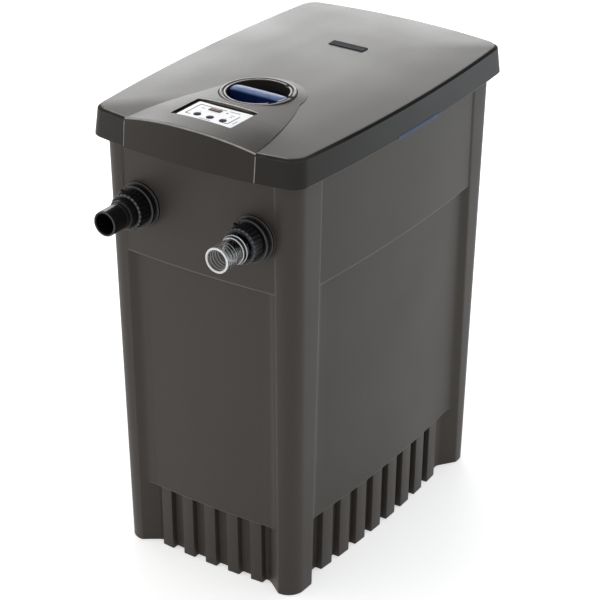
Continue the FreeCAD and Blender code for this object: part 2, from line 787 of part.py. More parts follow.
def make_well_ring():
    """The ring that lines the well over the clarifier, flanged under the lid."""
    bottom = RING_TOP - S.ring_depth
    flange_top = LID_UNDERSIDE
    flange_low = flange_top - S.ring_flange_thickness
    profile = ((S.ring_bore, bottom), (S.ring_radius, bottom), (S.ring_radius, flange_low),
               (S.ring_flange, flange_low), (S.ring_flange, flange_top), (S.ring_radius, flange_top),
               (S.ring_radius, RING_TOP - 1), (S.ring_radius - 1, RING_TOP),
               (S.ring_bore + 1, RING_TOP), (S.ring_bore, RING_TOP - 1))
    place(turned_body("well_ring", profile), y=-UVC_PLACE)


def make_control_unit():
    """The control housing with its board, panel, display window and nameplate."""
    outer_x = HOUSING_HALF_LENGTH
    outer_y = HOUSING_HALF_WIDTH
    housing = block(-outer_x, outer_x, -outer_y, outer_y, 0, HOUSING_TOP - HOUSING_LOW)
    seat_x = outer_x - S.housing_rim
    seat_y = outer_y - S.housing_rim
    inner_x = outer_x - S.housing_wall
    inner_y = outer_y - S.housing_wall
    floor = S.housing_wall
    ledge = PANEL_LOW - HOUSING_LOW
    hollow = block(-seat_x, seat_x, -seat_y, seat_y, ledge, HOUSING_TOP - HOUSING_LOW + 1)
    lower = block(-inner_x, inner_x, -inner_y, inner_y, floor, ledge + 1)
    place(shaped("control_housing", housing.cut(hollow).cut(lower)), y=-PANEL_PLACE, z=HOUSING_LOW)

    def board(sketch):
        draw_rectangle(sketch, 1 - inner_x, inner_x - 1, 1 - inner_y, inner_y - 1)

    place(padded_body("circuit_board", board, S.board_thickness), y=-PANEL_PLACE,
          z=HOUSING_LOW + S.housing_wall)

    def panel(sketch):
        draw_rectangle(sketch, -S.panel_length / 2, S.panel_length / 2, -S.panel_width / 2, S.panel_width / 2)
        for index in (-1, 0, 1):
            draw_circle(sketch, S.button_pitch * index, -S.button_offset, S.button_radius + S.running_gap)

    plate = padded_body("control_panel", panel, S.panel_thickness)
    place(plate, y=-PANEL_PLACE, z=PANEL_LOW)

    def display(sketch):
        draw_rectangle(sketch, -S.display_across - S.display_length / 2,
                       -S.display_across + S.display_length / 2,
                       S.display_back - S.display_width / 2, S.display_back + S.display_width / 2)

    window = padded_body("display_window", display, S.display_thickness)
    place(window, y=-PANEL_PLACE, z=PANEL_LOW + S.panel_thickness)
    button_bottom = PANEL_LOW + S.panel_thickness + S.button_travel + 0.4 - S.button_height
    for index, name in ((-1, "left"), (0, "middle"), (1, "right")):
        button = turned_body(f"button_{name}", ((0, 0), (S.button_radius, 0),
                                                (S.button_radius, S.button_height - 0.5),
                                                (S.button_radius - 0.5, S.button_height),
                                                (0, S.button_height)))
        place(button, x=S.button_pitch * index, y=-PANEL_PLACE - S.button_offset, z=button_bottom)

    def badge(sketch):
        draw_rectangle(sketch, -S.nameplate_length / 2, S.nameplate_length / 2,
                       -S.nameplate_width / 2, S.nameplate_width / 2)

    place(padded_body("nameplate", badge, S.nameplate_thickness), y=S.nameplate_place, z=LID_TOP)


BEAD_FACE = (S.base_half_width + S.side_draft * (BEAD_LOW + S.bead_thickness) + S.side_swell
             + S.bead_reach)
SKIRT_FACE = LID_HALF_WIDTH - S.skirt_inset * S.latch_tab_height / S.skirt_depth
LATCH_PLATE = BEAD_FACE + S.running_gap + S.latch_nose


def make_latch(side, label):
    """A latch: a plate on its two guides, with a nose under the bead and a tab in the notch."""
    plate_in = LATCH_PLATE
    plate_out = plate_in + S.latch_thickness
    bottom = SKIRT_LOW + S.running_gap
    top = BEAD_LOW - S.running_gap
    y_low = S.latch_place - S.latch_length / 2
    y_high = S.latch_place + S.latch_length / 2
    plate = block(plate_in, plate_out, y_low, y_high, bottom, top)
    nose = block(BEAD_FACE + S.running_gap, plate_in, y_low, y_high, top - S.latch_nose, top)
    tab = block(plate_out, SKIRT_FACE - S.slip_fit, y_low, y_high, bottom, bottom + S.latch_tab_height)
    latch = plate.fuse([nose, tab]).removeSplitter()
    for y in (S.latch_place - S.guide_spacing / 2, S.latch_place + S.guide_spacing / 2):
        latch = latch.cut(rod(S.guide_radius + S.running_gap, (BEAD_FACE, y, GUIDE_HEIGHT),
                              (SKIRT_FACE, y, GUIDE_HEIGHT)))
    if side < 0:
        latch = latch.mirror(V(0, 0, 0), V(1, 0, 0))
    shaped(label, latch)


# ---------------------------------------------------------------- ultraviolet clarifier


def make_uvc():
    """The clarifier: a housing on two brackets, and a head that carries sleeve and lamp."""
    seat = UVC_SEAT
    inner = S.uvc_housing_radius - S.uvc_housing_wall
    wall = S.uvc_housing_wall
    axis = (0, -UVC_PLACE)
    tube = rod(S.uvc_housing_radius, (*axis, UVC_LOW), (*axis, seat))
    tube = tube.cut(rod(inner, (*axis, UVC_LOW + wall), (*axis, seat + 1)))
    inlet_hole = rod(S.uvc_port_radius, (-S.uvc_housing_radius - 1, -UVC_PLACE, UNION_HEIGHT),
                     (0, -UVC_PLACE, UNION_HEIGHT))
    drain_hole = rod(S.uvc_port_radius, (0, -UVC_PLACE, UVC_DRAIN),
                     (0, S.uvc_housing_radius + 1 - UVC_PLACE, UVC_DRAIN))
    shaped("uvc_housing", tube.cut(inlet_hole).cut(drain_hole))

    rear = -PARTITION_PLACE - S.partition_thickness
    saddle = rod(S.uvc_housing_radius, (*axis, UVC_LOW), (*axis, seat))
    brackets = []
    for low in (UVC_LOW + S.bracket_low_rise, UVC_LOW + S.bracket_high_rise):
        arm = block(-S.bracket_width / 2, S.bracket_width / 2, -UVC_PLACE, rear, low, low + S.bracket_height)
        brackets.append(arm.cut(saddle))
    shaped("uvc_brackets", Part.makeCompound(brackets))

    plug_radius = inner - S.running_gap
    groove = S.seal_section
    collar = S.head_collar_height
    head_floor = S.running_gap
    seal_low = -S.head_plug_depth / 2
    neck = S.sleeve_radius + S.slip_fit
    profile = ((neck, -S.head_plug_depth), (plug_radius, -S.head_plug_depth), (plug_radius, seal_low),
               (plug_radius - groove, seal_low), (plug_radius - groove, seal_low + groove),
               (plug_radius, seal_low + groove), (plug_radius, head_floor), (S.head_radius, head_floor),
               (S.head_radius, collar), (S.head_neck_radius, collar), (S.head_neck_radius, S.head_height),
               (0, S.head_height), (0, collar), (neck, collar))
    place(turned_body("uvc_head", profile), y=-UVC_PLACE, z=seat)
    seal = ((plug_radius - groove, 0), (plug_radius - 0.05, 0), (plug_radius - 0.05, groove),
            (plug_radius - groove, groove))
    place(turned_body("uvc_seal_ring", seal), y=-UVC_PLACE, z=seat + seal_low)

    bore = S.sleeve_radius - S.sleeve_wall
    sleeve_top = collar
    sleeve = ((0, sleeve_top - S.sleeve_length), (S.sleeve_radius, sleeve_top - S.sleeve_length),
              (S.sleeve_radius, sleeve_top), (bore, sleeve_top),
              (bore, sleeve_top - S.sleeve_length + S.sleeve_wall),
              (0, sleeve_top - S.sleeve_length + S.sleeve_wall))
    place(turned_body("quartz_sleeve", sleeve), y=-UVC_PLACE, z=seat)
    socket = ((0, collar - S.socket_height), (S.socket_radius, collar - S.socket_height),
              (S.socket_radius, collar), (0, collar))
    place(turned_body("lamp_socket", socket), y=-UVC_PLACE, z=seat)
    lamp = ((0, -S.lamp_length), (S.lamp_radius, -S.lamp_length), (S.lamp_radius, 0), (0, 0))
    place(turned_body("uvc_lamp", lamp), y=-UVC_PLACE, z=seat + collar - S.socket_height)

    disc_low = float(seat + S.head_height + S.running_gap)
    disc_high = disc_low + float(S.grip_disc_thickness)
    top = float(GRIP_TOP)
    y = -float(UVC_PLACE)
    bar = block(-S.grip_disc_radius, S.grip_disc_radius, y - float(S.grip_half_width),
                y + float(S.grip_half_width), disc_low, top)
    bar = bar.common(rod(S.grip_disc_radius, (*axis, disc_low), (*axis, top)))
    disc = rod(S.grip_disc_radius, (*axis, disc_low), (*axis, disc_high))
    shaped("uvc_grip", disc.fuse(bar).removeSplitter())


# ---------------------------------------------------------------- hose unions


UNION_TURN = ((1, 0, 0), 90)
NOTCH_FACE = S.flange_thickness + S.neck_length + S.collar_length
SPIGOT_END = NOTCH_FACE + S.spigot_length
TAIL_START = SPIGOT_END + S.running_gap
TAIL_COLLAR = TAIL_START + S.tail_flange_thickness
TAIL_STEP = TAIL_COLLAR + S.tail_collar_length


def make_union(name, side, tail_length):
    """One hose union on the front wall, from its lock nut inside to its hose tail."""
    across = side * S.union_across

    def at_wall(piece):
        place(piece, x=across, y=-FRONT_FACE, z=UNION_HEIGHT, turn=UNION_TURN)

    inside = -S.boss_depth
    inner_end = inside - S.spigot_inside
    bulkhead = turned_body(f"{name}_bulkhead", (
        (S.bore_radius, inner_end), (S.spigot_radius, inner_end), (S.spigot_radius, 0),
        (S.flange_radius, 0), (S.flange_radius, S.flange_thickness), (S.neck_radius, S.flange_thickness),
        (S.neck_radius, S.flange_thickness + S.neck_length),
        (S.collar_radius, S.flange_thickness + S.neck_length), (S.collar_radius, NOTCH_FACE),
        (S.spigot_radius, NOTCH_FACE), (S.spigot_radius, SPIGOT_END), (S.bore_radius, SPIGOT_END)))
    at_wall(bulkhead)
    seal = turned_body(f"{name}_flat_seal", (
        (S.spigot_radius, inside - S.flat_seal_thickness),
        (S.lock_nut_radius, inside - S.flat_seal_thickness), (S.lock_nut_radius, inside),
        (S.spigot_radius, inside)))
    at_wall(seal)

    nut_low = inside - S.flat_seal_thickness - S.lock_nut_height

    def hexagon(sketch):
        corners = [(S.lock_nut_radius * math.cos(math.radians(60 * step)),
                    S.lock_nut_radius * math.sin(math.radians(60 * step))) for step in range(6)]
        draw_outline(sketch, corners)
        draw_circle(sketch, 0, 0, S.spigot_radius)

    lock_nut = padded_body(f"{name}_lock_nut", hexagon, S.lock_nut_height)
    place(lock_nut, x=across, y=-FRONT_FACE - nut_low, z=UNION_HEIGHT, turn=UNION_TURN)

    seal_width = (S.spigot_radius - S.bore_radius) / 3
    groove_in = S.bore_radius + seal_width
    groove_out = S.bore_radius + seal_width * 2
    tail = turned_body(f"{name}_hose_tail", (
        (S.bore_radius, TAIL_START), (groove_in, TAIL_START), (groove_in, TAIL_START + S.seal_section),
        (groove_out, TAIL_START + S.seal_section), (groove_out, TAIL_START),
        (S.spigot_radius, TAIL_START), (S.spigot_radius, TAIL_COLLAR), (S.tail_collar_radius, TAIL_COLLAR),
        (S.tail_collar_radius, TAIL_STEP), (S.tail_radius, TAIL_STEP),
        (S.tail_radius, TAIL_STEP + tail_length - S.tail_chamfer_length),
        (S.tail_radius - S.tail_chamfer, TAIL_STEP + tail_length),
        (S.bore_radius, TAIL_STEP + tail_length)))
    at_wall(tail)
    tail_seal = turned_body(f"{name}_tail_seal", (
        (groove_in, TAIL_START), (groove_out, TAIL_START), (groove_out, TAIL_START + S.seal_section),
        (groove_in, TAIL_START + S.seal_section)))
    at_wall(tail_seal)

    lip_start = TAIL_COLLAR + S.thread_clearance
    nut_bore = S.spigot_radius + S.thread_clearance
    lip_bore = S.tail_collar_radius + S.thread_clearance
    nut_start = SPIGOT_END - S.nut_skirt
    nut = turned_body(f"{name}_union_nut", (
        (nut_bore, nut_start), (S.nut_radius, nut_start), (S.nut_radius, lip_start + S.nut_lip),
        (lip_bore, lip_start + S.nut_lip), (lip_bore, lip_start), (nut_bore, lip_start)))
    at_wall(nut)

    def flute(sketch):
        draw_circle(sketch, S.nut_radius + S.flute_radius - S.flute_depth, 0, S.flute_radius)

    cut = pocket_through(nut, f"{name}_nut_flute", flute)
    polar_pattern(nut, cut, S.nut_flutes)


def make_inlet_elbow():
    """The pipe from the inlet's bulkhead round to the side of the clarifier's housing."""
    start = (-S.union_across, S.boss_depth + S.spigot_inside - FRONT_FACE, UNION_HEIGHT)
    corner = (-S.union_across, -UVC_PLACE, UNION_HEIGHT)
    inside_end = (-S.uvc_housing_radius + S.uvc_housing_wall, -UVC_PLACE, UNION_HEIGHT)
    outer = bent_rod(S.bore_radius + S.pipe_wall, (start, corner, inside_end), S.elbow_bend)
    bore = bent_rod(S.bore_radius, (start, corner, inside_end), S.elbow_bend)
    housing = rod(S.uvc_housing_radius, (0, -UVC_PLACE, UVC_LOW),
                  (0, -UVC_PLACE, UVC_SEAT))
    shaped("inlet_elbow", outer.cut(bore).cut(housing))


# ---------------------------------------------------------------- sludge pump


VOLUTE_LOW = S.tank_floor + S.strainer_height
VOLUTE_HIGH = VOLUTE_LOW + S.volute_height
PORT_HEIGHT = VOLUTE_LOW + S.volute_height / 2


def make_pump():
    """The sludge pump: strainer, volute, motor, and the impeller on its shaft."""
    strainer = turned_body("pump_strainer", (
        (S.pump_radius - S.strainer_wall, 0), (S.pump_radius, 0), (S.pump_radius, S.strainer_height),
        (S.eye_radius, S.strainer_height), (S.eye_radius, S.strainer_height - S.strainer_wall),
        (S.pump_radius - S.strainer_wall, S.strainer_height - S.strainer_wall)))
    place(strainer, x=S.union_across, y=-PUMP_PLACE, z=S.tank_floor)
    slot_sketch_height = S.strainer_height - 2 * S.strainer_wall
    sketch = new_sketch(strainer, "strainer_slot_outline", "XZ_Plane")
    draw_rectangle(sketch, -S.strainer_slot_width / 2, S.strainer_slot_width / 2, S.strainer_wall,
                   slot_sketch_height)
    slot = strainer.newObject("PartDesign::Pocket", "strainer_slot")
    slot.Profile = sketch
    slot.Type = 0
    bind(slot, "Length", S.pump_radius + 1)
    slot.Reversed = False
    DOC.recompute()
    polar_pattern(strainer, slot, S.strainer_slots)

    axis = (S.union_across, -PUMP_PLACE)
    inside_low = VOLUTE_LOW + S.volute_wall
    inside_high = VOLUTE_HIGH - S.volute_wall
    volute = rod(S.pump_radius, (*axis, VOLUTE_LOW), (*axis, VOLUTE_HIGH))
    volute = volute.cut(rod(S.pump_radius - S.volute_wall, (*axis, inside_low), (*axis, inside_high)))
    volute = volute.cut(rod(S.eye_radius, (*axis, VOLUTE_LOW - 1), (*axis, inside_low + 1)))
    bearing = S.shaft_radius + S.shaft_fit
    volute = volute.cut(rod(bearing, (*axis, inside_high - 1), (*axis, VOLUTE_HIGH + 1)))
    port = rod(S.eye_radius, (S.union_across, -PUMP_PLACE, PORT_HEIGHT),
               (S.union_across, -PUMP_PLACE - S.pump_radius - 1, PORT_HEIGHT))
    shaped("pump_volute", volute.cut(port))

    shaft_low = inside_low + 1
    motor = turned_body("pump_motor", (
        (0, S.shaft_length), (bearing, S.shaft_length), (bearing, 0), (S.motor_radius, 0),
        (S.motor_radius, S.motor_height - 6), (S.motor_radius - 6, S.motor_height), (0, S.motor_height)))
    place(motor, x=axis[0], y=axis[1], z=VOLUTE_HIGH)

    def impeller_disc(sketch):
        draw_circle(sketch, 0, 0, S.impeller_hub + S.shaft_radius)
        draw_circle(sketch, 0, 0, S.shaft_radius)

    hub = padded_body("pump_impeller", impeller_disc, S.vane_height)
    place(hub, x=axis[0], y=axis[1], z=shaft_low + 1)
    vane_sketch = new_sketch(hub, "impeller_vane_outline", "XY_Plane")
    draw_rectangle(vane_sketch, S.impeller_hub, S.impeller_radius, -S.vane_thickness / 2,
                   S.vane_thickness / 2)
    vane = hub.newObject("PartDesign::Pad", "impeller_vane")
    vane.Profile = vane_sketch
    bind(vane, "Length", S.vane_height)
    DOC.recompute()
    polar_pattern(hub, vane, S.impeller_vanes)

    shaft_top = VOLUTE_HIGH + S.shaft_length - S.running_gap
    shaft = DOC.addObject("Part::Cylinder", "pump_shaft")
    bind(shaft, "Radius", S.shaft_radius)
    bind(shaft, "Height", shaft_top - shaft_low)
    place(finished(shaft, "pump_shaft"), x=axis[0], y=axis[1], z=shaft_low)


def make_sludge_riser():
    """The pipe from the volute's port up the front wall to the sludge bulkhead."""
    x = S.union_across
    start = (x, -PUMP_PLACE - S.pump_radius, PORT_HEIGHT)
    end = (x, S.boss_depth + S.spigot_inside - FRONT_FACE, UNION_HEIGHT)
    route = (start, (x, -RISER_PLACE, PORT_HEIGHT), (x, -RISER_PLACE, UNION_HEIGHT), end)
    outer = bent_rod(S.eye_radius + S.pipe_wall, route, S.riser_bend)
    bore = bent_rod(S.eye_radius, route, S.riser_bend)
    volute = rod(S.pump_radius, (x, -PUMP_PLACE, VOLUTE_LOW), (x, -PUMP_PLACE, VOLUTE_HIGH))
    shaped("sludge_riser", outer.cut(bore).cut(volute))


# ---------------------------------------------------------------- foams


SHELF = S.rib_height + S.tank_wall
GRID_TOP = SHELF + S.grid_thickness


def make_partition():
    """The wall between the pump chamber and the foams, with an overflow slot at its top."""
    y_high = -PARTITION_PLACE
    y_low = y_high - S.partition_thickness
    half = LID_HALF_WIDTH
    slab = block(-half, half, y_low, y_high, S.tank_floor, PARTITION_TOP)
    slab = slab.common(tank_hollow(S.tank_wall))
    top = PARTITION_TOP - S.overflow_height
    slot = block(-FOAM_HALF_WIDTH / 2, FOAM_HALF_WIDTH / 2, y_low - 1, y_high + 1, top,
                 PARTITION_TOP + 1)
    foot = block(-FOAM_HALF_WIDTH / 2, FOAM_HALF_WIDTH / 2, y_low - 1, y_high + 1,
                 S.tank_floor - 1, S.tank_floor + S.overflow_height)
    shaped("partition_wall", slab.cut(slot).cut(foot))


def support_places():
    """The places of the two foam supports."""
    return [(side * S.support_across, S.support_place) for side in (-1, 1)]


def make_foams():
    """Grid, support tubes, coarse and fine foam slabs, and the frame that holds them down."""
    half = LID_HALF_WIDTH
    inside = tank_hollow(S.tank_wall + S.slip_fit)
    grid = block(-half, half, S.foam_gap - PARTITION_PLACE, LID_HALF_LENGTH, SHELF, GRID_TOP)
    grid = grid.common(inside)
    slots = []
    for index in range(-4, 5):
        middle = S.grid_slot_pitch * index
        if abs(abs(float(middle)) - float(S.support_across)) > float(S.support_radius):
            slots.append(block(middle - S.grid_slot_width / 2, middle + S.grid_slot_width / 2,
                               0, FOAM_REAR - FOAM_FRONT, SHELF - 1, GRID_TOP + 1))
    shaped("foam_grid", grid.cut(Part.makeCompound(slots)))

    tubes = []
    holes = []
    for x, y in support_places():
        tube = rod(S.support_radius, (x, y, GRID_TOP), (x, y, GRID_TOP + S.support_height))
        bore = rod(S.support_radius - S.support_wall, (x, y, GRID_TOP - 1),
                   (x, y, GRID_TOP + S.support_height + 1))
        tubes.append(tube.cut(bore))
        holes.append(rod(S.support_radius + S.foam_gap, (x, y, SHELF), (x, y, S.rim_height)))
    shaped("foam_support_tubes", Part.makeCompound(tubes))
    holes = Part.makeCompound(holes)

    layers = int(float(S.foam_layers))
    level = GRID_TOP + S.foam_gap
    for label in ("fine_foams", "coarse_foams"):
        slabs = []
        for _ in range(layers):
            slab = block(-FOAM_HALF_WIDTH, FOAM_HALF_WIDTH, -FOAM_FRONT, FOAM_REAR, level,
                         level + S.foam_thickness)
            slabs.append(slab.cut(holes))
            level = level + S.foam_thickness + S.foam_gap
        shaped(label, Part.makeCompound(slabs))

    frame = block(-FOAM_HALF_WIDTH, FOAM_HALF_WIDTH, -FOAM_FRONT, FOAM_REAR, level,
                  level + S.retainer_thickness)
    reach = S.retainer_window / 2
    window = block(-reach / 2, reach / 2, S.support_place - reach, S.support_place + reach, level - 1,
                   level + S.retainer_thickness + 1)
    shaped("foam_retainer", frame.cut(holes).cut(window))


# ---------------------------------------------------------------- rear outlet and cable gland


def make_outlet():
    """The wide outlet on the rear wall, with its seal and lock nut inside."""
    turn = ((1, 0, 0), -90)
    bore = S.outlet_radius - S.outlet_wall
    inside = -S.boss_depth
    pipe = turned_body("outlet_pipe", (
        (bore, inside - S.outlet_inside), (S.outlet_radius, inside - S.outlet_inside),
        (S.outlet_radius, 0), (S.outlet_flange_radius, 0),
        (S.outlet_flange_radius, S.outlet_flange_thickness), (S.outlet_radius, S.outlet_flange_thickness),
        (S.outlet_radius, S.outlet_length), (bore, S.outlet_length)))
    seal = turned_body("outlet_seal", (
        (S.outlet_radius, inside - S.flat_seal_thickness),
        (S.outlet_nut_radius, inside - S.flat_seal_thickness), (S.outlet_nut_radius, inside),
        (S.outlet_radius, inside)))
    low = inside - S.flat_seal_thickness - S.outlet_nut_height
    nut = turned_body("outlet_lock_nut", (
        (S.outlet_radius, low), (S.outlet_nut_radius, low),
        (S.outlet_nut_radius, inside - S.flat_seal_thickness),
        (S.outlet_radius, inside - S.flat_seal_thickness)))
    for piece in (pipe, seal, nut):
        place(piece, y=REAR_FACE, z=S.outlet_height, turn=turn)


def make_cable_gland():
    """The gland in the rear wall that the mains lead would leave by."""
    inside = -S.boss_depth - S.gland_inside
    gland = turned_body("cable_gland", (
        (S.gland_bore, inside), (S.gland_body, inside), (S.gland_body, 0), (S.gland_radius, 0),
        (S.gland_radius, S.gland_length / 2), (S.gland_body, S.gland_length), (S.gland_bore, S.gland_length)))
    place(gland, x=S.gland_across, y=GLAND_FACE, z=GLAND_HEIGHT, turn=((1, 0, 0), -90))


def export_pieces():
    """Check every object, then write each piece to its own file."""
    DOC.recompute()
    for item in DOC.Objects:
        if "Invalid" in item.State or "Error" in item.State:
            raise RuntimeError(f"{item.Name} failed: {item.State}")
    for piece in PIECES:
        if piece.Shape.isNull() or not piece.Shape.isValid() or not piece.Shape.Solids:
            raise RuntimeError(f"{piece.Label} has no sound shape")
    for piece in PIECES:
        piece.Shape.exportStep(f"parts/{piece.Label}.step")


def main():
    """Build the filter from the tank up and write its pieces."""
    make_tank_shell()
    make_rim_gasket()
    make_partition()
    make_foams()
    make_outlet()
    make_cable_gland()
    make_union("inlet", -1, S.inlet_tail_length)
    make_union("sludge", 1, S.sludge_tail_length)
    make_inlet_elbow()
    make_pump()
    make_sludge_riser()
    make_uvc()
    make_lid()
    make_console_screws()
    make_well_ring()
    make_control_unit()
    make_latch(-1, "latch_left")
    make_latch(1, "latch_right")
    export_pieces()


main()
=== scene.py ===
"""The looks of a pond filter box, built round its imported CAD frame.

Lengths are millimetres until a mesh is cast, when they become metres. The frame is the CAD's
own: +X to the right seen from the front, -Y out of the front wall, +Z up from the ground.
"""

import logging
import math
from dataclasses import dataclass
from enum import Enum

import bmesh
import bpy
import numpy as np
from mathutils import Matrix, Vector


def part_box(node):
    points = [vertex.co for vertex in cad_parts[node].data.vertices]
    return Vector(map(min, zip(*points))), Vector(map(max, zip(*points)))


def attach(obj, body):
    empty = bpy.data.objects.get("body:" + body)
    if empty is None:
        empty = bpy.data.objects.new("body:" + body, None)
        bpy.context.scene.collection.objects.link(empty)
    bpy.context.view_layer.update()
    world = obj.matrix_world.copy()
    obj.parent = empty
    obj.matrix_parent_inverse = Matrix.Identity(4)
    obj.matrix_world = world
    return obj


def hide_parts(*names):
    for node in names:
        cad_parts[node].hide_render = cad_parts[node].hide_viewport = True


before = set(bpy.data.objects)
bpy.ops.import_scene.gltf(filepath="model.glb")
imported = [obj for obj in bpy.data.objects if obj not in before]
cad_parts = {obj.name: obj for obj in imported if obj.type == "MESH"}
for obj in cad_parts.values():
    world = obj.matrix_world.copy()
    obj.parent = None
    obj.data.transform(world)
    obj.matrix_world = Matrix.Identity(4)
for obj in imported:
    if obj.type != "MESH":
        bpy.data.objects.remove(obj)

Array = np.ndarray
Colour = tuple[float, float, float]
Hoop = tuple[float, float, float, float]
MM = 0.001
SHARP = 0.01
THROUGH_LID = (690.0, 740.0)
THROUGH_WALL = (-24.0, 14.0)
LOG = logging.getLogger("pond_filter")
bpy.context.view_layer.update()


# ---------------- named options


class Side(Enum):
    """The two hands of the box, seen from the front."""

    LEFT = -1
    RIGHT = 1


class Stand(Enum):
    """How a piece made upright is stood: where its own X, Y and height point."""

    FRONT = ((1, 0, 0), (0, 0, 1), (0, -1, 0))
    REAR = ((-1, 0, 0), (0, 0, 1), (0, 1, 0))


class Slot(Enum):
    """The record's material slots."""

    TANK = "tank_plastic"
    LID = "lid_plastic"
    BLACK = "black_plastic"
    BLUE = "blue_plastic"
    BUTTON = "button_blue"
    PANEL = "white_panel"
    DISPLAY = "display"
    NAMEPLATE = "nameplate"
    CLEAR = "clear_plastic"
    QUARTZ = "quartz"
    LAMP = "lamp_glass"
    CERAMIC = "ceramic_white"
    RUBBER = "rubber"
    COARSE_FOAM = "blue_foam"
    FINE_FOAM = "red_foam"
    BOARD = "board"
    STEEL = "steel"


# ---------------- reading the frame


def low(node: str) -> Array:
    """Lowest corner (x, y, z) of a CAD node at rest, in millimetres."""
    return np.array(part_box(node)[0]) / MM


def high(node: str) -> Array:
    """Highest corner (x, y, z) of a CAD node at rest, in millimetres."""
    return np.array(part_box(node)[1]) / MM


def middle(node: str) -> Array:
    """Middle of a CAD node's box at rest, in millimetres."""
    return (low(node) + high(node)) / 2


def half_size(node: str) -> Array:
    """Half the size of a CAD node's box, in millimetres."""
    return (high(node) - low(node)) / 2


def levels(node: str) -> tuple[float, float]:
    """Heights of a CAD node's underside and top at rest, in millimetres."""
    return float(low(node)[2]), float(high(node)[2])


# ---------------- outlines and grids


def soften(corners: Array, radius: float | Array, steps: int = 5) -> Array:
    """Rounds the corners of a closed outline.

    A corner C gives (1-t)^2 A + 2t(1-t) C + t^2 B for t from 0 to 1, where A and B lie one
    radius, and at most 48% of the run, before and after it.

    Args:
        corners: (n, k) points of the outline in order.
        radius: how far from each corner its curve starts.
        steps: points in each corner's curve.

    Returns:
        (n * steps, k) points of the rounded outline.
    """
    reach = np.broadcast_to(np.asarray(radius, float), (len(corners),))[:, None]
    before = np.roll(corners, 1, axis=0) - corners
    after = np.roll(corners, -1, axis=0) - corners
    size_before = np.linalg.norm(before, axis=1, keepdims=True)
    size_after = np.linalg.norm(after, axis=1, keepdims=True)
    start = corners + before / size_before * np.minimum(reach, 0.48 * size_before)
    end = corners + after / size_after * np.minimum(reach, 0.48 * size_after)
    t = np.linspace(0, 1, steps)[None, :, None]
    curve = (1 - t) ** 2 * start[:, None] + 2 * t * (1 - t) * corners[:, None] + t**2 * end[:, None]
    return curve.reshape(-1, corners.shape[1])


def rectangle(half_x: float, half_y: float, radius: float | Array, steps: int = 6) -> Array:
    """A rectangle about the origin with round corners.

    Args:
        half_x: half its size in X.
        half_y: half its size in Y.
        radius: how far from each corner its curve starts, from the front right one round.
        steps: points in each corner's curve.

    Returns:
        (4 * steps, 2) points, anticlockwise.
    """
    corners = np.array([(half_x, -half_y), (half_x, half_y), (-half_x, half_y), (-half_x, -half_y)])
    return soften(corners, radius, steps)


def circle(radius: float, count: int = 64) -> Array:
    """Points evenly round a circle about the origin.

    Args:
        radius: its radius.
        count: how many points.

    Returns:
        (count, 2) points, anticlockwise.
    """
    angle = np.arange(count) * (2 * np.pi / count)
    return radius * np.stack([np.cos(angle), np.sin(angle)], 1)


def shrunk(outline: Array, amount: float) -> Array:
    """Moves each point of a closed outline inwards along its own normal.

    The normal is the line through both neighbours turned by a quarter turn.

    Args:
        outline: (n, 2) points, anticlockwise.
        amount: how far in.

    Returns:
        (n, 2) moved points.
    """
    along = np.roll(outline, -1, axis=0) - np.roll(outline, 1, axis=0)
    size = np.maximum(np.linalg.norm(along, axis=1, keepdims=True), 1e-9)
    inward = np.stack([-along[:, 1], along[:, 0]], 1) / size
    return outline + inward * amount


def slab(outline: Array, bottom: float, top: float, edge: float, crown: float = 0.0) -> Array:
    """A closed plate over an outline, with its upper and lower edges rounded.

    The rows climb a quarter circle of the edge's radius, the upright side and another quarter
    circle, and then close on the middle; the top row swells by the crown times 1 - s^2, where
    s runs from 0 in the middle to 1 at the rim.

    Args:
        outline: (n, 2) points, anticlockwise.
        bottom: height of the underside.
        top: height of the rim of the upper side.
        edge: radius of both edges.
        crown: how far the middle of the top stands above its rim.

    Returns:
        (rows, n, 3) grid whose first and last rows are single points.
    """
    turn = np.linspace(0, np.pi / 2, 5)
    inset = edge * (1 - np.sin(turn))
    lift = edge * (1 - np.cos(turn))
    insets = np.concatenate([inset, inset[::-1]])
    heights = np.concatenate([bottom + lift, top - lift[::-1]])
    rows = [np.column_stack([shrunk(outline, i), np.full(len(outline), h)]) for i, h in zip(insets, heights)]
    centre = outline.mean(0)
    rim = rows[-1][:, :2]
    for share in (0.92, 0.75, 0.5, 0.25, 0.0):
        plan = centre + (rim - centre) * share
        rows.append(np.column_stack([plan, np.full(len(plan), top + crown * (1 - share**2))]))
    rows.insert(0, np.column_stack([np.tile(centre, (len(outline), 1)), np.full(len(outline), bottom)]))
    return np.array(rows)


def turned(profile: Array, count: int = 96) -> Array:
    """A profile turned about the upright axis: (r, h) at angle a is (r cos a, r sin a, h).

    Args:
        profile: (m, 2) points of radius and height.
        count: steps round the axis.

    Returns:
        (count, m, 3) grid.
    """
    angle = np.arange(count) * (2 * np.pi / count)
    radius, height = profile[:, 0], profile[:, 1]
    x = np.cos(angle)[:, None] * radius
    y = np.sin(angle)[:, None] * radius
    return np.stack([x, y, np.broadcast_to(height, x.shape)], -1)


def stood(points: Array, origin: Array | tuple, stand: Stand) -> Array:
    """Stands upright points elsewhere: origin + x X' + y Y' + h H'.

    Args:
        points: (..., 3) points of a piece made upright.
        origin: where the piece's own origin goes.
        stand: where its own X, Y and height point.

    Returns:
        (..., 3) points in the frame.
    """
    return points @ np.array(stand.value, float) + np.asarray(origin, float)


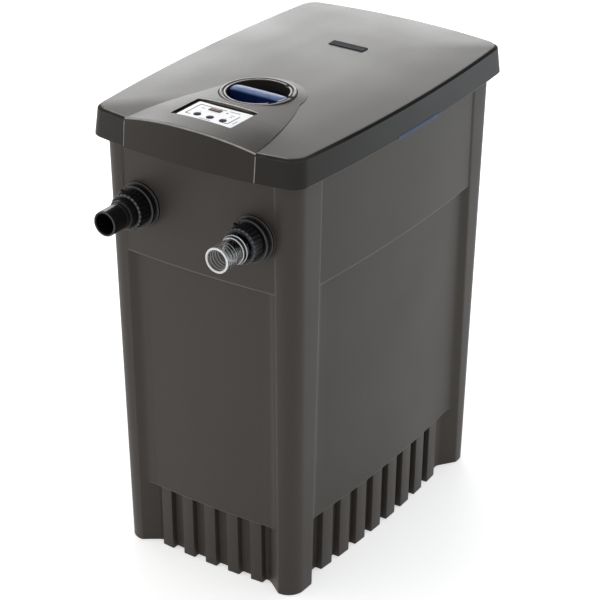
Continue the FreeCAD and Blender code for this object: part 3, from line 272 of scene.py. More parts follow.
def tube(path: Array, radius: float | Array, count: int = 16) -> Array:
    """A round tube along a path, closed at both ends by a point.

    Each ring is c + r (cos a U + sin a W), where U is level, or the path's first side where it
    climbs, and W is square to U and to the path.

    Args:
        path: (n, 3) points along the middle.
        radius: one radius, or one for each point.
        count: points in each ring.

    Returns:
        (n + 2, count, 3) grid.
    """
    along = np.gradient(path, axis=0)
    along /= np.linalg.norm(along, axis=1, keepdims=True)
    side = np.cross(along, (0.0, 0.0, 1.0))
    size = np.linalg.norm(side, axis=1, keepdims=True)
    side = np.where(size > 1e-3, side / np.maximum(size, 1e-9), np.array([[1.0, 0.0, 0.0]]))
    over = np.cross(side, along)
    angle = np.arange(count) * (2 * np.pi / count)
    reach = np.broadcast_to(np.asarray(radius, float), (len(path),))[:, None, None]
    ring = np.cos(angle)[None, :, None] * side[:, None] + np.sin(angle)[None, :, None] * over[:, None]
    rings = path[:, None] + reach * ring
    ends = [np.tile(path[i], (1, count, 1)) for i in (0, -1)]
    return np.concatenate([ends[0], rings, ends[1]])


def polar(grid: Array) -> tuple[Array, Array, Array]:
    """Angle, radius and height of each point about the upright axis."""
    return np.arctan2(grid[..., 1], grid[..., 0]), np.hypot(grid[..., 0], grid[..., 1]), grid[..., 2]


def swollen(grid: Array, factor: Array) -> Array:
    """Multiplies the radius of each point about the upright axis and keeps its height."""
    return grid * np.stack([factor, factor, np.ones_like(factor)], -1)


class Mould:
    """Gathers grids of points in millimetres and casts them as one mesh object in metres."""

    def __init__(self) -> None:
        """Starts empty."""
        self.points: list[Array] = []
        self.faces: list[Array] = []
        self.marks: list[Array] = []
        self.count = 0

    def add(self, grid: Array, loop: bool = True, ring: bool = False, mark: Array | None = None) -> "Mould":
        """Adds the quads between the neighbours of a grid.

        Args:
            grid: (rows, columns, 3) points.
            loop: joins the last column to the first.
            ring: joins the last row to the first.
            mark: how much each point takes of its finish's painted light colour, from 0 to 1: a painted edge
                highlight, or the lift of the painted shadow line.

        Returns:
            This mould.
        """
        rows, columns = grid.shape[:2]
        index = np.arange(rows * columns).reshape(rows, columns) + self.count
        if ring:
            index = np.vstack([index, index[:1]])
        if loop:
            index = np.hstack([index, index[:, :1]])
        quads = np.stack([index[:-1, :-1], index[:-1, 1:], index[1:, 1:], index[1:, :-1]], -1)
        self.points.append(grid.reshape(-1, 3))
        self.faces.append(quads.reshape(-1, 4))
        self.marks.append(np.broadcast_to(0.0 if mark is None else mark, (rows, columns)).ravel())
        self.count += rows * columns
        return self

    def mesh(self, name: str) -> bpy.types.Object:
        """Makes the object: doubles merged, faces outward, edges over 35 degrees kept crisp.

        Args:
            name: the object's name.

        Returns:
            The new object, at the origin.
        """
        data = bpy.data.meshes.new(name)
        data.from_pydata(np.concatenate(self.points) * MM, [], np.concatenate(self.faces).tolist())
        edge = data.attributes.new("edge", "FLOAT", "POINT")
        edge.data.foreach_set("value", np.concatenate(self.marks).astype(np.float32))
        work = bmesh.new()
        work.from_mesh(data)
        bmesh.ops.remove_doubles(work, verts=work.verts, dist=1e-5)
        bmesh.ops.recalc_face_normals(work, faces=work.faces)
        work.to_mesh(data)
        work.free()
        thing = bpy.data.objects.new(name, data)
        bpy.context.scene.collection.objects.link(thing)
        crisp(thing)
        return thing


def crisp(thing: bpy.types.Object, degrees: float = 35.0) -> None:
    """Shades a piece smooth, but for the edges that turn by more than an angle.

    Args:
        thing: the piece.
        degrees: the angle.
    """
    thing.data.shade_smooth()
    thing.data.set_sharp_from_angle(angle=math.radians(degrees))


def carve(thing: bpy.types.Object, cutter: Mould) -> None:
    """Cuts a mould's closed shapes out of a piece and keeps the result as its mesh.

    Args:
        thing: the piece.
        cutter: the shapes to cut away.
    """
    tool = cutter.mesh("cutter")
    modifier = thing.modifiers.new("carve", "BOOLEAN")
    modifier.object = tool
    modifier.operation = "DIFFERENCE"
    modifier.solver = "EXACT"
    bpy.context.view_layer.update()
    graph = bpy.context.evaluated_depsgraph_get()
    data = bpy.data.meshes.new_from_object(thing.evaluated_get(graph))
    thing.modifiers.remove(modifier)
    old, thing.data = thing.data, data
    bpy.data.meshes.remove(old)
    bpy.data.objects.remove(tool)
    crisp(thing)


# ---------------- shader wiring


class Wiring:
    """Adds nodes to one shader tree and joins them."""

    def __init__(self, tree: bpy.types.NodeTree) -> None:
        """Keeps the tree."""
        self.tree = tree

    def feed(self, node: bpy.types.Node, inputs: dict) -> None:
        """Gives a node's inputs what they take.

        Args:
            node: the node.
            inputs: a value or a socket for each input, by its name or its number.
        """
        for name, value in inputs.items():
            if isinstance(value, bpy.types.NodeSocket):
                self.tree.links.new(value, node.inputs[name])
            else:
                node.inputs[name].default_value = value

    def node(self, kind: str, inputs: dict | None = None, **settings: object) -> bpy.types.Node:
        """Adds a node.

        Args:
            kind: the node's type.
            inputs: a value or a socket for each input, by its name or its number.
            settings: the node's own properties.

        Returns:
            The new node.
        """
        made = self.tree.nodes.new(kind)
        for name, value in settings.items():
            setattr(made, name, value)
        self.feed(made, inputs or {})
        return made

    def place(self) -> bpy.types.NodeSocket:
        """Where a point is on its own piece."""
        return self.node("ShaderNodeTexCoord").outputs["Object"]

    def sum(self, kind: str, *terms: object) -> bpy.types.NodeSocket:
        """One step of arithmetic on values or sockets."""
        return self.node("ShaderNodeMath", dict(enumerate(terms)), operation=kind).outputs[0]

    def product(self, *terms: object) -> bpy.types.NodeSocket:
        """Two values or sockets multiplied."""
        return self.sum("MULTIPLY", *terms)

    def total(self, *terms: object) -> bpy.types.NodeSocket:
        """Two values or sockets added."""
        return self.sum("ADD", *terms)

    def spread(self, value: object, start: float, end: float, to_start: float,
               to_end: float) -> bpy.types.NodeSocket:
        """Maps a value from one span to another and holds it there."""
        spans = {0: value, 1: start, 2: end, 3: to_start, 4: to_end}
        return self.node("ShaderNodeMapRange", spans).outputs[0]

    def mix(self, mask: object, first: object, second: object) -> bpy.types.NodeSocket:
        """Blends two colours by a mask that is 0 for the first and 1 for the second."""
        colours = {0: mask, 6: first, 7: second}
        return self.node("ShaderNodeMix", colours, data_type="RGBA").outputs[2]

    def dim(self, colour: object, factor: object) -> bpy.types.NodeSocket:
        """Multiplies a colour by a number.

        Args:
            colour: the colour, as a value or a socket.
            factor: the number.

        Returns:
            The product.
        """
        if not isinstance(colour, bpy.types.NodeSocket):
            colour = tuple(colour)[:3]
        return self.node("ShaderNodeVectorMath", {0: colour, 3: factor}, operation="SCALE").outputs[0]

    def noise(self, vector: object, scale: object, detail: float = 2.0) -> bpy.types.NodeSocket:
        """Cloudy noise from 0 to 1, with so many features per metre and finer layers."""
        inputs = {"Vector": vector, "Scale": scale, "Detail": detail}
        return self.node("ShaderNodeTexNoise", inputs).outputs[0]

    def seen(self) -> bpy.types.NodeSocket:
        """One for rays from the camera, from a glossy bounce and through glass, else nought."""
        path = self.node("ShaderNodeLightPath").outputs
        through = self.sum("MAXIMUM", path["Is Glossy Ray"], path["Is Transmission Ray"])
        return self.sum("MAXIMUM", path["Is Camera Ray"], through)

    def bump(self, height: object, depth: float, distance: float = 0.001) -> bpy.types.NodeSocket:
        """Turns a relief from 0 to 1 into a normal; the distance is its depth in metres."""
        inputs = {"Strength": depth, "Distance": distance, "Height": height}
        return self.node("ShaderNodeBump", inputs).outputs[0]


class Effect(Enum):
    """The shared effects, each a shader group."""

    GRAIN = "moulded_grain"
    RUB = "painted_edge_light"
    # Painted highlight on marked edges; it also lifts the painted shadow line where marked.
    DUST = "settled_dust"
    CELLS = "foam_cells"
    TURNING = "turning_marks"


SOCKETS: dict[Effect, tuple[tuple[str, ...], tuple[str, ...]]] = {
    Effect.GRAIN: (("Vector", "Colour", "Roughness", "Grain", "Mottle"), ("Colour", "Roughness", "Height")),
    Effect.RUB: (("Vector", "Colour", "Rubbed", "Edge"), ("Colour", "Mask")),
    Effect.DUST: (("Vector", "Normal", "Colour", "Dust", "Amount"), ("Colour", "Mask")),
    Effect.CELLS: (("Vector", "Colour", "Hollow", "Cells"), ("Colour", "Height")),
    Effect.TURNING: (("Vector", "Roughness", "Lines"), ("Roughness", "Height")),
}
KINDS = {"Vector": "Vector", "Normal": "Vector", "Colour": "Color", "Rubbed": "Color", "Dust": "Color",
         "Hollow": "Color"}


class Effects:
    """Builds each shared effect once and places it in materials."""

    built: dict[Effect, bpy.types.NodeTree] = {}

    @classmethod
    def tree(cls, effect: Effect) -> bpy.types.NodeTree:
        """The effect's group, built the first time it is asked for.

        Args:
            effect: which effect.

        Returns:
            Its node group.
        """
        if effect not in cls.built:
            tree = bpy.data.node_groups.new(effect.value, "ShaderNodeTree")
            for in_out, sockets in zip(("INPUT", "OUTPUT"), SOCKETS[effect]):
                for name in sockets:
                    kind = f"NodeSocket{KINDS.get(name, 'Float')}"
                    tree.interface.new_socket(name=name, in_out=in_out, socket_type=kind)
            wires = Wiring(tree)
            given, out = wires.node("NodeGroupInput").outputs, wires.node("NodeGroupOutput")
            getattr(cls, effect.value)(wires, given, out)
            cls.built[effect] = tree
        return cls.built[effect]

    @classmethod
    def place(cls, wires: Wiring, effect: Effect, inputs: dict) -> bpy.types.bpy_prop_collection:
        """Puts an effect into a material, fed with a value or a socket for each input."""
        return wires.node("ShaderNodeGroup", inputs, node_tree=cls.tree(effect)).outputs

    @staticmethod
    def moulded_grain(wires: Wiring, given: object, out: bpy.types.Node) -> None:
        """Fine grain with slow mottling: colour and roughness swing with two scales of cloud.

        Args:
            wires: the group's wiring.
            given: the group's inputs.
            out: the group's output node.
        """
        slow = wires.noise(given["Vector"], 7.0, 3.0)
        fine = wires.noise(given["Vector"], given["Grain"], 3.0)
        inputs = {"Vector": given["Vector"], "Scale": given["Grain"]}
        pits = wires.node("ShaderNodeTexVoronoi", inputs).outputs[0]
        fine_swing = wires.product(wires.sum("SUBTRACT", fine, 0.5), 1.4)
        swing = wires.total(wires.sum("SUBTRACT", slow, 0.5), fine_swing)
        factor = wires.total(1.0, wires.product(swing, given["Mottle"]))
        wires.feed(out, {
            "Colour": wires.dim(given["Colour"], factor),
            "Roughness": wires.total(given["Roughness"], wires.product(swing, 0.16)),
            "Height": wires.total(wires.product(fine, 0.7), wires.product(pits, 0.5)),
        })

    @staticmethod
    def painted_edge_light(wires: Wiring, given: object, out: bpy.types.Node) -> None:
        """Paints highlights on marked edges by blending towards a lighter colour, broken up by cloudy noise.

        Args:
            wires: the group's wiring.
            given: the group's inputs.
            out: the group's output node.
        """
        patchy = wires.spread(wires.noise(given["Vector"], 60.0, 3.0), 0.25, 0.75, 0.55, 1.0)
        mask = wires.product(wires.spread(given["Edge"], 0.05, 0.9, 0.0, 1.0), patchy)
        wires.feed(out, {"Colour": wires.mix(mask, given["Colour"], given["Rubbed"]), "Mask": mask})

    @staticmethod
    def settled_dust(wires: Wiring, given: object, out: bpy.types.Node) -> None:
        """Lays pale dust on faces that look up, in drifts.

        Args:
            wires: the group's wiring.
            given: the group's inputs.
            out: the group's output node.
        """
        upward = wires.node("ShaderNodeSeparateXYZ", {0: given["Normal"]}).outputs[2]
        drift = wires.spread(wires.noise(given["Vector"], 24.0, 4.0), 0.3, 0.7, 0.3, 1.0)
        mask = wires.product(wires.product(wires.spread(upward, 0.5, 1.0, 0.0, 1.0), drift), given["Amount"])
        wires.feed(out, {"Colour": wires.mix(mask, given["Colour"], given["Dust"]), "Mask": mask})

    @staticmethod
    def foam_cells(wires: Wiring, given: object, out: bpy.types.Node) -> None:
        """Open cells: dark hollows where the distance to a cell's middle is small, strands between.

        Args:
            wires: the group's wiring.
            given: the group's inputs.
            out: the group's output node.
        """
        inputs = {"Vector": given["Vector"], "Scale": given["Cells"], "Randomness": 0.9}
        cell = wires.node("ShaderNodeTexVoronoi", inputs).outputs[0]
        fine = wires.noise(given["Vector"], given["Cells"], 3.0)
        wall = wires.spread(wires.total(cell, wires.product(fine, 0.25)), 0.25, 0.75, 0.0, 1.0)
        wires.feed(out, {"Colour": wires.mix(wall, given["Hollow"], given["Colour"]), "Height": wall})

    @staticmethod
    def turning_marks(wires: Wiring, given: object, out: bpy.types.Node) -> None:
        """Fine streaks from drawing or turning: noise stretched along the piece's own height.

        Args:
            wires: the group's wiring.
            given: the group's inputs.
            out: the group's output node.
        """
        inputs = {"Vector": given["Vector"], "Scale": (1.0, 1.0, 0.04)}
        drawn = wires.node("ShaderNodeMapping", inputs).outputs[0]
        streak = wires.noise(drawn, given["Lines"], 3.0)
        rough = wires.total(given["Roughness"], wires.spread(streak, 0.3, 0.7, -0.07, 0.07))
        wires.feed(out, {"Roughness": rough, "Height": streak})


# ---------------- finishes


def blank(label: str) -> tuple[bpy.types.Material, Wiring, bpy.types.Node]:
    """A new material with its shader.

    Args:
        label: the material's name.

    Returns:
        The material, its wiring and its Principled shader.
    """
    material = bpy.data.materials.new(label)
    material.use_nodes = True
    return material, Wiring(material.node_tree), material.node_tree.nodes["Principled BSDF"]


def rgba(colour: Colour) -> tuple[float, float, float, float]:
    """A colour with full opacity."""
    return (*colour, 1.0)


@dataclass(frozen=True)
class Moulding:
    """Grained moulded plastic with painted highlights where edges are marked, and paler where dust has
    settled.
    """

    label: str
    colour: Colour
    # rubbed: the painted highlight colour on marked edges; in the shadow line's finish, the lighter tone that
    # its painted shade is lifted to.
    rubbed: Colour = (0.2, 0.19, 0.18)
    roughness: float = 0.5
    grain: float = 700.0
    relief: float = 0.12
    mottle: float = 0.12
    dust: float = 0.0
    gloss: float = 0.5

    def build(self) -> bpy.types.Material:
        """Builds the material.

        Returns:
            The material.
        """
        material, wires, shader = blank(self.label)
        place = wires.place()
        normal = wires.node("ShaderNodeNewGeometry").outputs["Normal"]
        edge = wires.node("ShaderNodeAttribute", attribute_name="edge").outputs["Fac"]
        grain = Effects.place(wires, Effect.GRAIN, {
            "Vector": place, "Colour": rgba(self.colour), "Roughness": self.roughness,
            "Grain": self.grain, "Mottle": self.mottle,
        })
        # Painted highlights where the mesh's edge marks are set.
        edge_light = Effects.place(wires, Effect.RUB, {
            "Vector": place, "Colour": grain["Colour"], "Rubbed": rgba(self.rubbed), "Edge": edge,
        })
        dust = Effects.place(wires, Effect.DUST, {
            "Vector": place, "Normal": normal, "Colour": edge_light["Colour"],
            "Dust": rgba((0.34, 0.32, 0.29)), "Amount": self.dust,
        })
        wires.feed(shader, {
            "Base Color": dust["Colour"],
            "Roughness": wires.total(grain["Roughness"], wires.product(dust["Mask"], 0.25)),
            "Normal": wires.bump(grain["Height"], self.relief),
            "Specular IOR Level": self.gloss,
        })
        return material


@dataclass(frozen=True)
class Foam:
    """Open-cell filter foam."""

    label: str
    colour: Colour
    hollow: Colour
    cells: float

    def build(self) -> bpy.types.Material:
        """Builds the material.

        Returns:
            The material.
        """
        material, wires, shader = blank(self.label)
        place = wires.place()
        cells = Effects.place(wires, Effect.CELLS, {
            "Vector": place, "Colour": rgba(self.colour), "Hollow": rgba(self.hollow), "Cells": self.cells,
        })
        wires.feed(shader, {
            "Base Color": cells["Colour"],
            "Normal": wires.bump(cells["Height"], 0.9, 0.0015),
            "Roughness": wires.spread(cells["Height"], 0.0, 1.0, 1.0, 0.85),
            "Sheen Weight": 0.15,
        })
        return material


@dataclass(frozen=True)
class Clear:
    """Clear moulded plastic, quartz or lamp glass, with faint clouding."""

    label: str
    colour: Colour
    cloud: Colour
    roughness: float
    passing: float
    index: float = 1.45

    def build(self) -> bpy.types.Material:
        """Builds the material.

        Returns:
            The material.
        """
        material, wires, shader = blank(self.label)
        place = wires.place()
        grain = Effects.place(wires, Effect.GRAIN, {
            "Vector": place, "Colour": rgba(self.colour), "Roughness": self.roughness, "Grain": 300.0,
            "Mottle": 0.1,
        })
        veil = wires.spread(wires.noise(place, 45.0, 4.0), 0.45, 0.8, 0.0, 0.6)
        wires.feed(shader, {
            "Base Color": wires.mix(veil, grain["Colour"], rgba(self.cloud)),
            "Roughness": grain["Roughness"],
            "Transmission Weight": self.passing,
            "IOR": self.index,
        })
        return material


@dataclass(frozen=True)
class Metal:
    """Drawn stainless steel."""

    label: str
    colour: Colour
    roughness: float
    lines: float = 2500.0

    def build(self) -> bpy.types.Material:
        """Builds the material.

        Returns:
            The material.
        """
        material, wires, shader = blank(self.label)
        place = wires.place()
        inputs = {"Vector": place, "Roughness": self.roughness, "Lines": self.lines}
        marks = Effects.place(wires, Effect.TURNING, inputs)
        shade = wires.spread(marks["Height"], 0.3, 0.7, 0.85, 1.1)
        wires.feed(shader, {
            "Base Color": wires.dim(rgba(self.colour), shade),
            "Roughness": marks["Roughness"],
            "Normal": wires.bump(marks["Height"], 0.1),
            "Metallic": 1.0,
        })
        return material


@dataclass(frozen=True)
class CircuitBoard:
    """Green lacquer over copper tracks, with solder spots."""

    label: str = "board_lacquer"
    pitch: float = 320.0

    def build(self) -> bpy.types.Material:
        """Builds the material.

        Returns:
            The material.
        """
        material, wires, shader = blank(self.label)
        place = wires.place()
        inputs = {"Vector": place, "Scale": self.pitch, "Mortar Size": 0.03}
        tracks = wires.node("ShaderNodeTexBrick", inputs).outputs[1]
        spots = wires.node("ShaderNodeTexVoronoi", {"Vector": place, "Scale": self.pitch}).outputs[0]
        lacquer = wires.mix(tracks, rgba((0.008, 0.075, 0.03)), rgba((0.03, 0.17, 0.07)))
        solder = wires.spread(spots, 0.1, 0.16, 1.0, 0.0)
        wires.feed(shader, {
            "Base Color": wires.mix(solder, lacquer, rgba((0.6, 0.6, 0.58))),
            "Roughness": wires.spread(solder, 0.0, 1.0, 0.35, 0.2),
            "Normal": wires.bump(wires.total(tracks, solder), 0.3, 0.0004),
        })
        return material


Finish = Moulding | Foam | Clear | Metal | CircuitBoard


class Finishes:
    """Every finish of the box, each built once."""

    TANK = Moulding("tank_grain", (0.049, 0.0415, 0.035), (0.13, 0.12, 0.11), 0.5, 650.0, 0.10, 0.14,
                    gloss=0.32)
    TANK_INSIDE = Moulding("inner_grain", (0.05, 0.047, 0.043), (0.1, 0.096, 0.09), 0.6, 520.0, 0.12, 0.2)
    LID = Moulding("lid_grain", (0.036, 0.031, 0.0265), (0.27, 0.25, 0.23), 0.38, 650.0, 0.10, 0.12, 0.02,
                   0.26)
    # Painted shade: a darker, less glossy copy of the lid's finish for the lid's upright skirt.
    SHADED_SKIRT = Moulding("skirt_painted_shade", (0.027, 0.0245, 0.0225), (0.27, 0.26, 0.25), 0.4, 650.0, 0.10, 0.12,
                     gloss=0.15)
    RIM = Moulding("rim_grain", (0.032, 0.0275, 0.0235), (0.5, 0.49, 0.5), 0.3, 650.0, 0.06, 0.1, gloss=0.24)
    # Painted shade: near-black for the groove under the crown's edge; its lighter colour, about the lid's own
    # tone, is taken where the marks lift it.
    SHADOW_LINE = Moulding("seam_shade", (0.006, 0.0055, 0.005), (0.045, 0.042, 0.038), 0.5, 650.0, 0.10, 0.05,
                    gloss=0.05)
    CONSOLE = Moulding("console_grain", (0.032, 0.0272, 0.023), (0.52, 0.5, 0.47), 0.38, 650.0, 0.10, 0.12,
                       gloss=0.2)
    BLACK = Moulding("satin_black", (0.0055, 0.0053, 0.0053), (0.14, 0.14, 0.145), 0.3, 900.0, 0.05, 0.2,
                     gloss=0.3)
    BLUE_BLACK = Moulding("blue_black", (0.0065, 0.0072, 0.010), (0.11, 0.12, 0.14), 0.3, 900.0, 0.05, 0.2,
                          gloss=0.3)
    BLUE = Moulding("navy_gloss", (0.008, 0.02, 0.09), (0.085, 0.16, 0.36), 0.38, 800.0, 0.03, 0.15,
                    gloss=0.2)
    BUTTON = Moulding("button_soft", (0.006, 0.011, 0.034), (0.03, 0.05, 0.1), 0.5, 1500.0, 0.04, 0.1,
                      gloss=0.1)
    PANEL = Moulding("panel_print", (0.86, 0.87, 0.885), (0.9, 0.9, 0.9), 0.35, 1200.0, 0.02, 0.03)
    INK = Moulding("panel_ink", (0.02, 0.035, 0.09), (0.1, 0.14, 0.24), 0.6, 1500.0, 0.02, 0.2, gloss=0.1)
    DISPLAY = Moulding("display_red", (0.055, 0.008, 0.010), (0.2, 0.03, 0.03), 0.3, 900.0, 0.0, 0.1,
                       gloss=0.12)
    SEGMENT = Moulding("display_segment", (0.16, 0.02, 0.02), (0.3, 0.05, 0.05), 0.4, 900.0, 0.0, 0.1,
                       gloss=0.12)
    NAMEPLATE = Moulding("badge_satin", (0.022, 0.023, 0.026), (0.12, 0.12, 0.13), 0.6, 1200.0, 0.03, 0.15,
                         gloss=0.04)
    RUBBER = Moulding("seal_rubber", (0.012, 0.012, 0.012), (0.05, 0.05, 0.05), 0.7, 500.0, 0.2, 0.3)
    CERAMIC = Moulding("lamp_ceramic", (0.72, 0.70, 0.66), (0.8, 0.79, 0.76), 0.3, 400.0, 0.03, 0.06)
    CLEAR = Clear("clear_tail", (0.97, 0.975, 0.98), (0.93, 0.94, 0.95), 0.02, 1.0, 1.28)
    # Pale opaque finishes for hoops on the clear tail: painted highlights on its edges and threads.
    CLEAR_EDGE_GLINT = Moulding("clear_edge_glint", (0.8, 0.81, 0.82), (0.9, 0.9, 0.91), 0.25, 900.0, 0.02, 0.1)
    CLEAR_RIB_GLINT = Moulding("clear_rib_glint", (0.26, 0.265, 0.27), (0.5, 0.5, 0.5), 0.3, 900.0, 0.02, 0.1)
    QUARTZ = Clear("clear_quartz", (0.97, 0.98, 0.99), (0.93, 0.95, 0.97), 0.03, 1.0)
    LAMP = Clear("lamp_tube", (0.86, 0.88, 0.94), (0.8, 0.82, 0.9), 0.12, 0.6)
    COARSE = Foam("coarse_cells", (0.045, 0.13, 0.36), (0.006, 0.02, 0.07), 260.0)
    FINE = Foam("fine_cells", (0.46, 0.07, 0.05), (0.09, 0.012, 0.01), 420.0)
    STEEL = Metal("drawn_steel", (0.62, 0.62, 0.61), 0.3)
    BOARD = CircuitBoard()
    built: dict[Finish, bpy.types.Material] = {}

    @classmethod
    def of(cls, finish: Finish) -> bpy.types.Material:
        """The material of one of this class's finishes, built the first time it is asked for.

        Args:
            finish: the finish.

        Returns:
            Its material.
        """
        if finish not in cls.built:
            cls.built[finish] = finish.build()
        return cls.built[finish]


class Assembly:
    """What every sub-assembly does with its pieces."""

    def finish(self, thing: bpy.types.Object, finish: Finish, body: str, slot: Slot,
               *stands_for: str) -> None:
        """Dresses a new piece, puts it on its body and hides the CAD nodes that it stands for.

        Args:
            thing: the piece.
            finish: its finish.
            body: the CAD body it rides on.
            slot: the record's slot for its finish; not used.
            stands_for: CAD nodes.
        """
        thing.data.materials.clear()
        thing.data.materials.append(Finishes.of(finish))
        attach(thing, body)
        if stands_for:
            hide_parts(*stands_for)
        LOG.info("%s: %d faces on %s", thing.name, len(thing.data.polygons), body)

    def dress(self, finish: Finish, *nodes: str) -> None:
        """Gives CAD nodes a finish, leaving their shapes as they are.

        Args:
            finish: the finish.
            nodes: names of the CAD nodes.
        """
        for name in nodes:
            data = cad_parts[name].data
            data.materials.clear()
            data.materials.append(Finishes.of(finish))
            LOG.info("%s: CAD shape, %s", name, finish.label)


# ---------------- plans of the box and the lid


@dataclass(frozen=True)
class BowedPlan:
    """A plan with four outward-bowed sides and round corners, drafted with height."""

    half_width: float
    half_length: float
    side_draft: float
    end_draft: float
    side_bow: float
    end_bow: float
    corner: float

    def middles(self, z: Array, inset: Array) -> tuple[Array, Array]:
        """Half width and half length at some heights of a plan moved in by the inset."""
        return self.half_width + self.side_draft * z - inset, self.half_length + self.end_draft * z - inset

    def arcs(self, z: Array, inset: Array) -> tuple[Array, ...]:
        """Radii of the side and end arcs, and the corner arc's middle and its two angles.

        A side is the arc through its middle and both sharp corners: R = ((b - e)^2 + s^2) / 2s,
        where b is the other half size, e its bow and s this side's bow. The corner's arc
        lies one radius inside both.

        Args:
            z: heights.
            inset: how far in the plan is moved.

        Returns:
            Side radius, end radius, corner x, corner y, first angle, last angle.
        """
        width, length = self.middles(z, inset)
        side = ((length - self.end_bow) ** 2 + self.side_bow**2) / (2 * self.side_bow)
        end = ((width - self.side_bow) ** 2 + self.end_bow**2) / (2 * self.end_bow)
        run_x, run_y = side - width, length - end
        apart = np.hypot(run_x, run_y)
        along = ((side - self.corner) ** 2 - (end - self.corner) ** 2 + apart**2) / (2 * apart)
        across = np.sqrt((side - self.corner) ** 2 - along**2)
        way_x, way_y = run_x / apart, run_y / apart
        x = width - side + way_x * along - way_y * across
        y = way_y * along + way_x * across
        return side, end, x, y, np.arctan2(y, x - width + side), np.arctan2(y - length + end, x)

    def side_at(self, y: Array, z: Array, inset: Array) -> Array:
        """X of the right side at a place along it: m - R + sqrt(R^2 - y^2).

        Args:
            y: places along the side.
            z: heights.
            inset: how far in.

        Returns:
            X.
        """
        width, length = self.middles(z, inset)
        radius = ((length - self.end_bow) ** 2 + self.side_bow**2) / (2 * self.side_bow)
        return width - radius + np.sqrt(radius**2 - y**2)

    def end_at(self, x: Array, z: Array, inset: Array) -> Array:
        """Y of the rear end at a place across it, in the same way as side_at.

        Args:
            x: places across the end.
            z: heights.
            inset: how far in.

        Returns:
            Y.
        """
        width, length = self.middles(z, inset)
        radius = ((width - self.side_bow) ** 2 + self.end_bow**2) / (2 * self.end_bow)
        return length - radius + np.sqrt(radius**2 - x**2)

    def ring(self, z: Array, inset: Array, fine: int = 30) -> Array:
        """The whole plan at several heights.

        A quarter runs along half a side, round the corner and along half an end, each by equal
        angles of its arc; the other quarters are its mirror images.

        Args:
            z: heights of the rows.
            inset: how far in each row is.
            fine: points along half a side.

        Returns:
            (rows, columns, 3) grid, anticlockwise.
        """
        z, inset = np.broadcast_arrays(np.asarray(z, float), np.asarray(inset, float))
        width, length = self.middles(z, inset)
        side, end, x, y, first, last = self.arcs(z, inset)
        t = np.linspace(0, 1, fine)[None]
        a = first[:, None] * t
        b = first[:, None] + (last - first)[:, None] * np.linspace(0, 1, 12)[None]
        c = last[:, None] + (np.pi / 2 - last)[:, None] * np.linspace(0, 1, fine * 2 // 3)[None]
        width, length, side, end, x, y = (values[:, None] for values in (width, length, side, end, x, y))
        xs = np.hstack([width - side + side * np.cos(a), x + self.corner * np.cos(b), end * np.cos(c)])
        ys = np.hstack([side * np.sin(a), y + self.corner * np.sin(b), length - end + end * np.sin(c)])
        return mirrored(np.stack([xs, ys, np.broadcast_to(z[:, None], xs.shape)], -1))


def mirrored(quarter: Array) -> Array:
    """Carries rows of a quarter plan all the way round by mirroring it in X and in Y.

    Args:
        quarter: (rows, n, 3) points from the middle of the right side to the middle of the rear.

    Returns:
        (rows, 4n, 3) points, anticlockwise.
    """
    flip_x = quarter[:, ::-1] * (-1, 1, 1)
    half = np.concatenate([quarter, flip_x], 1)
    return np.concatenate([half, half[:, ::-1] * (1, -1, 1)], 1)


TANK_PLAN = BowedPlan(161.6, 255.7, 0.0152, 0.0179, 13.7, 7.7, 22.0)
LID_PLAN = BowedPlan(float(high("lid_shell")[0]), float(high("lid_shell")[1]), 0.0, 0.0, 13.4, 16.9, 25.0)


@dataclass(frozen=True)
class Opening:
    """A hole through the tank's wall for a fitting, with a flat pad round it."""

    node: str
    bore: float
    pad: float
    reach: float
    stand: Stand

    def centre(self) -> Array:
        """Middle of the hole on the pad's face, as far in from the fitting's end as it reaches out.

        Returns:
            The point.
        """
        point = middle(self.node)
        rear = self.stand is Stand.REAR
        point[1] = high(self.node)[1] - self.reach if rear else low(self.node)[1] + self.reach
        return point


OPENINGS = {
    "inlet": Opening("inlet_bulkhead", 22.1, 35.0, 27.9, Stand.FRONT),
    "sludge": Opening("sludge_bulkhead", 22.1, 35.0, 27.9, Stand.FRONT),
    "outlet": Opening("outlet_pipe", 37.6, 51.0, 60.0, Stand.REAR),
    "gland": Opening("cable_gland", 7.6, 12.0, 16.0, Stand.REAR),
}


# ---------------- sub-assemblies


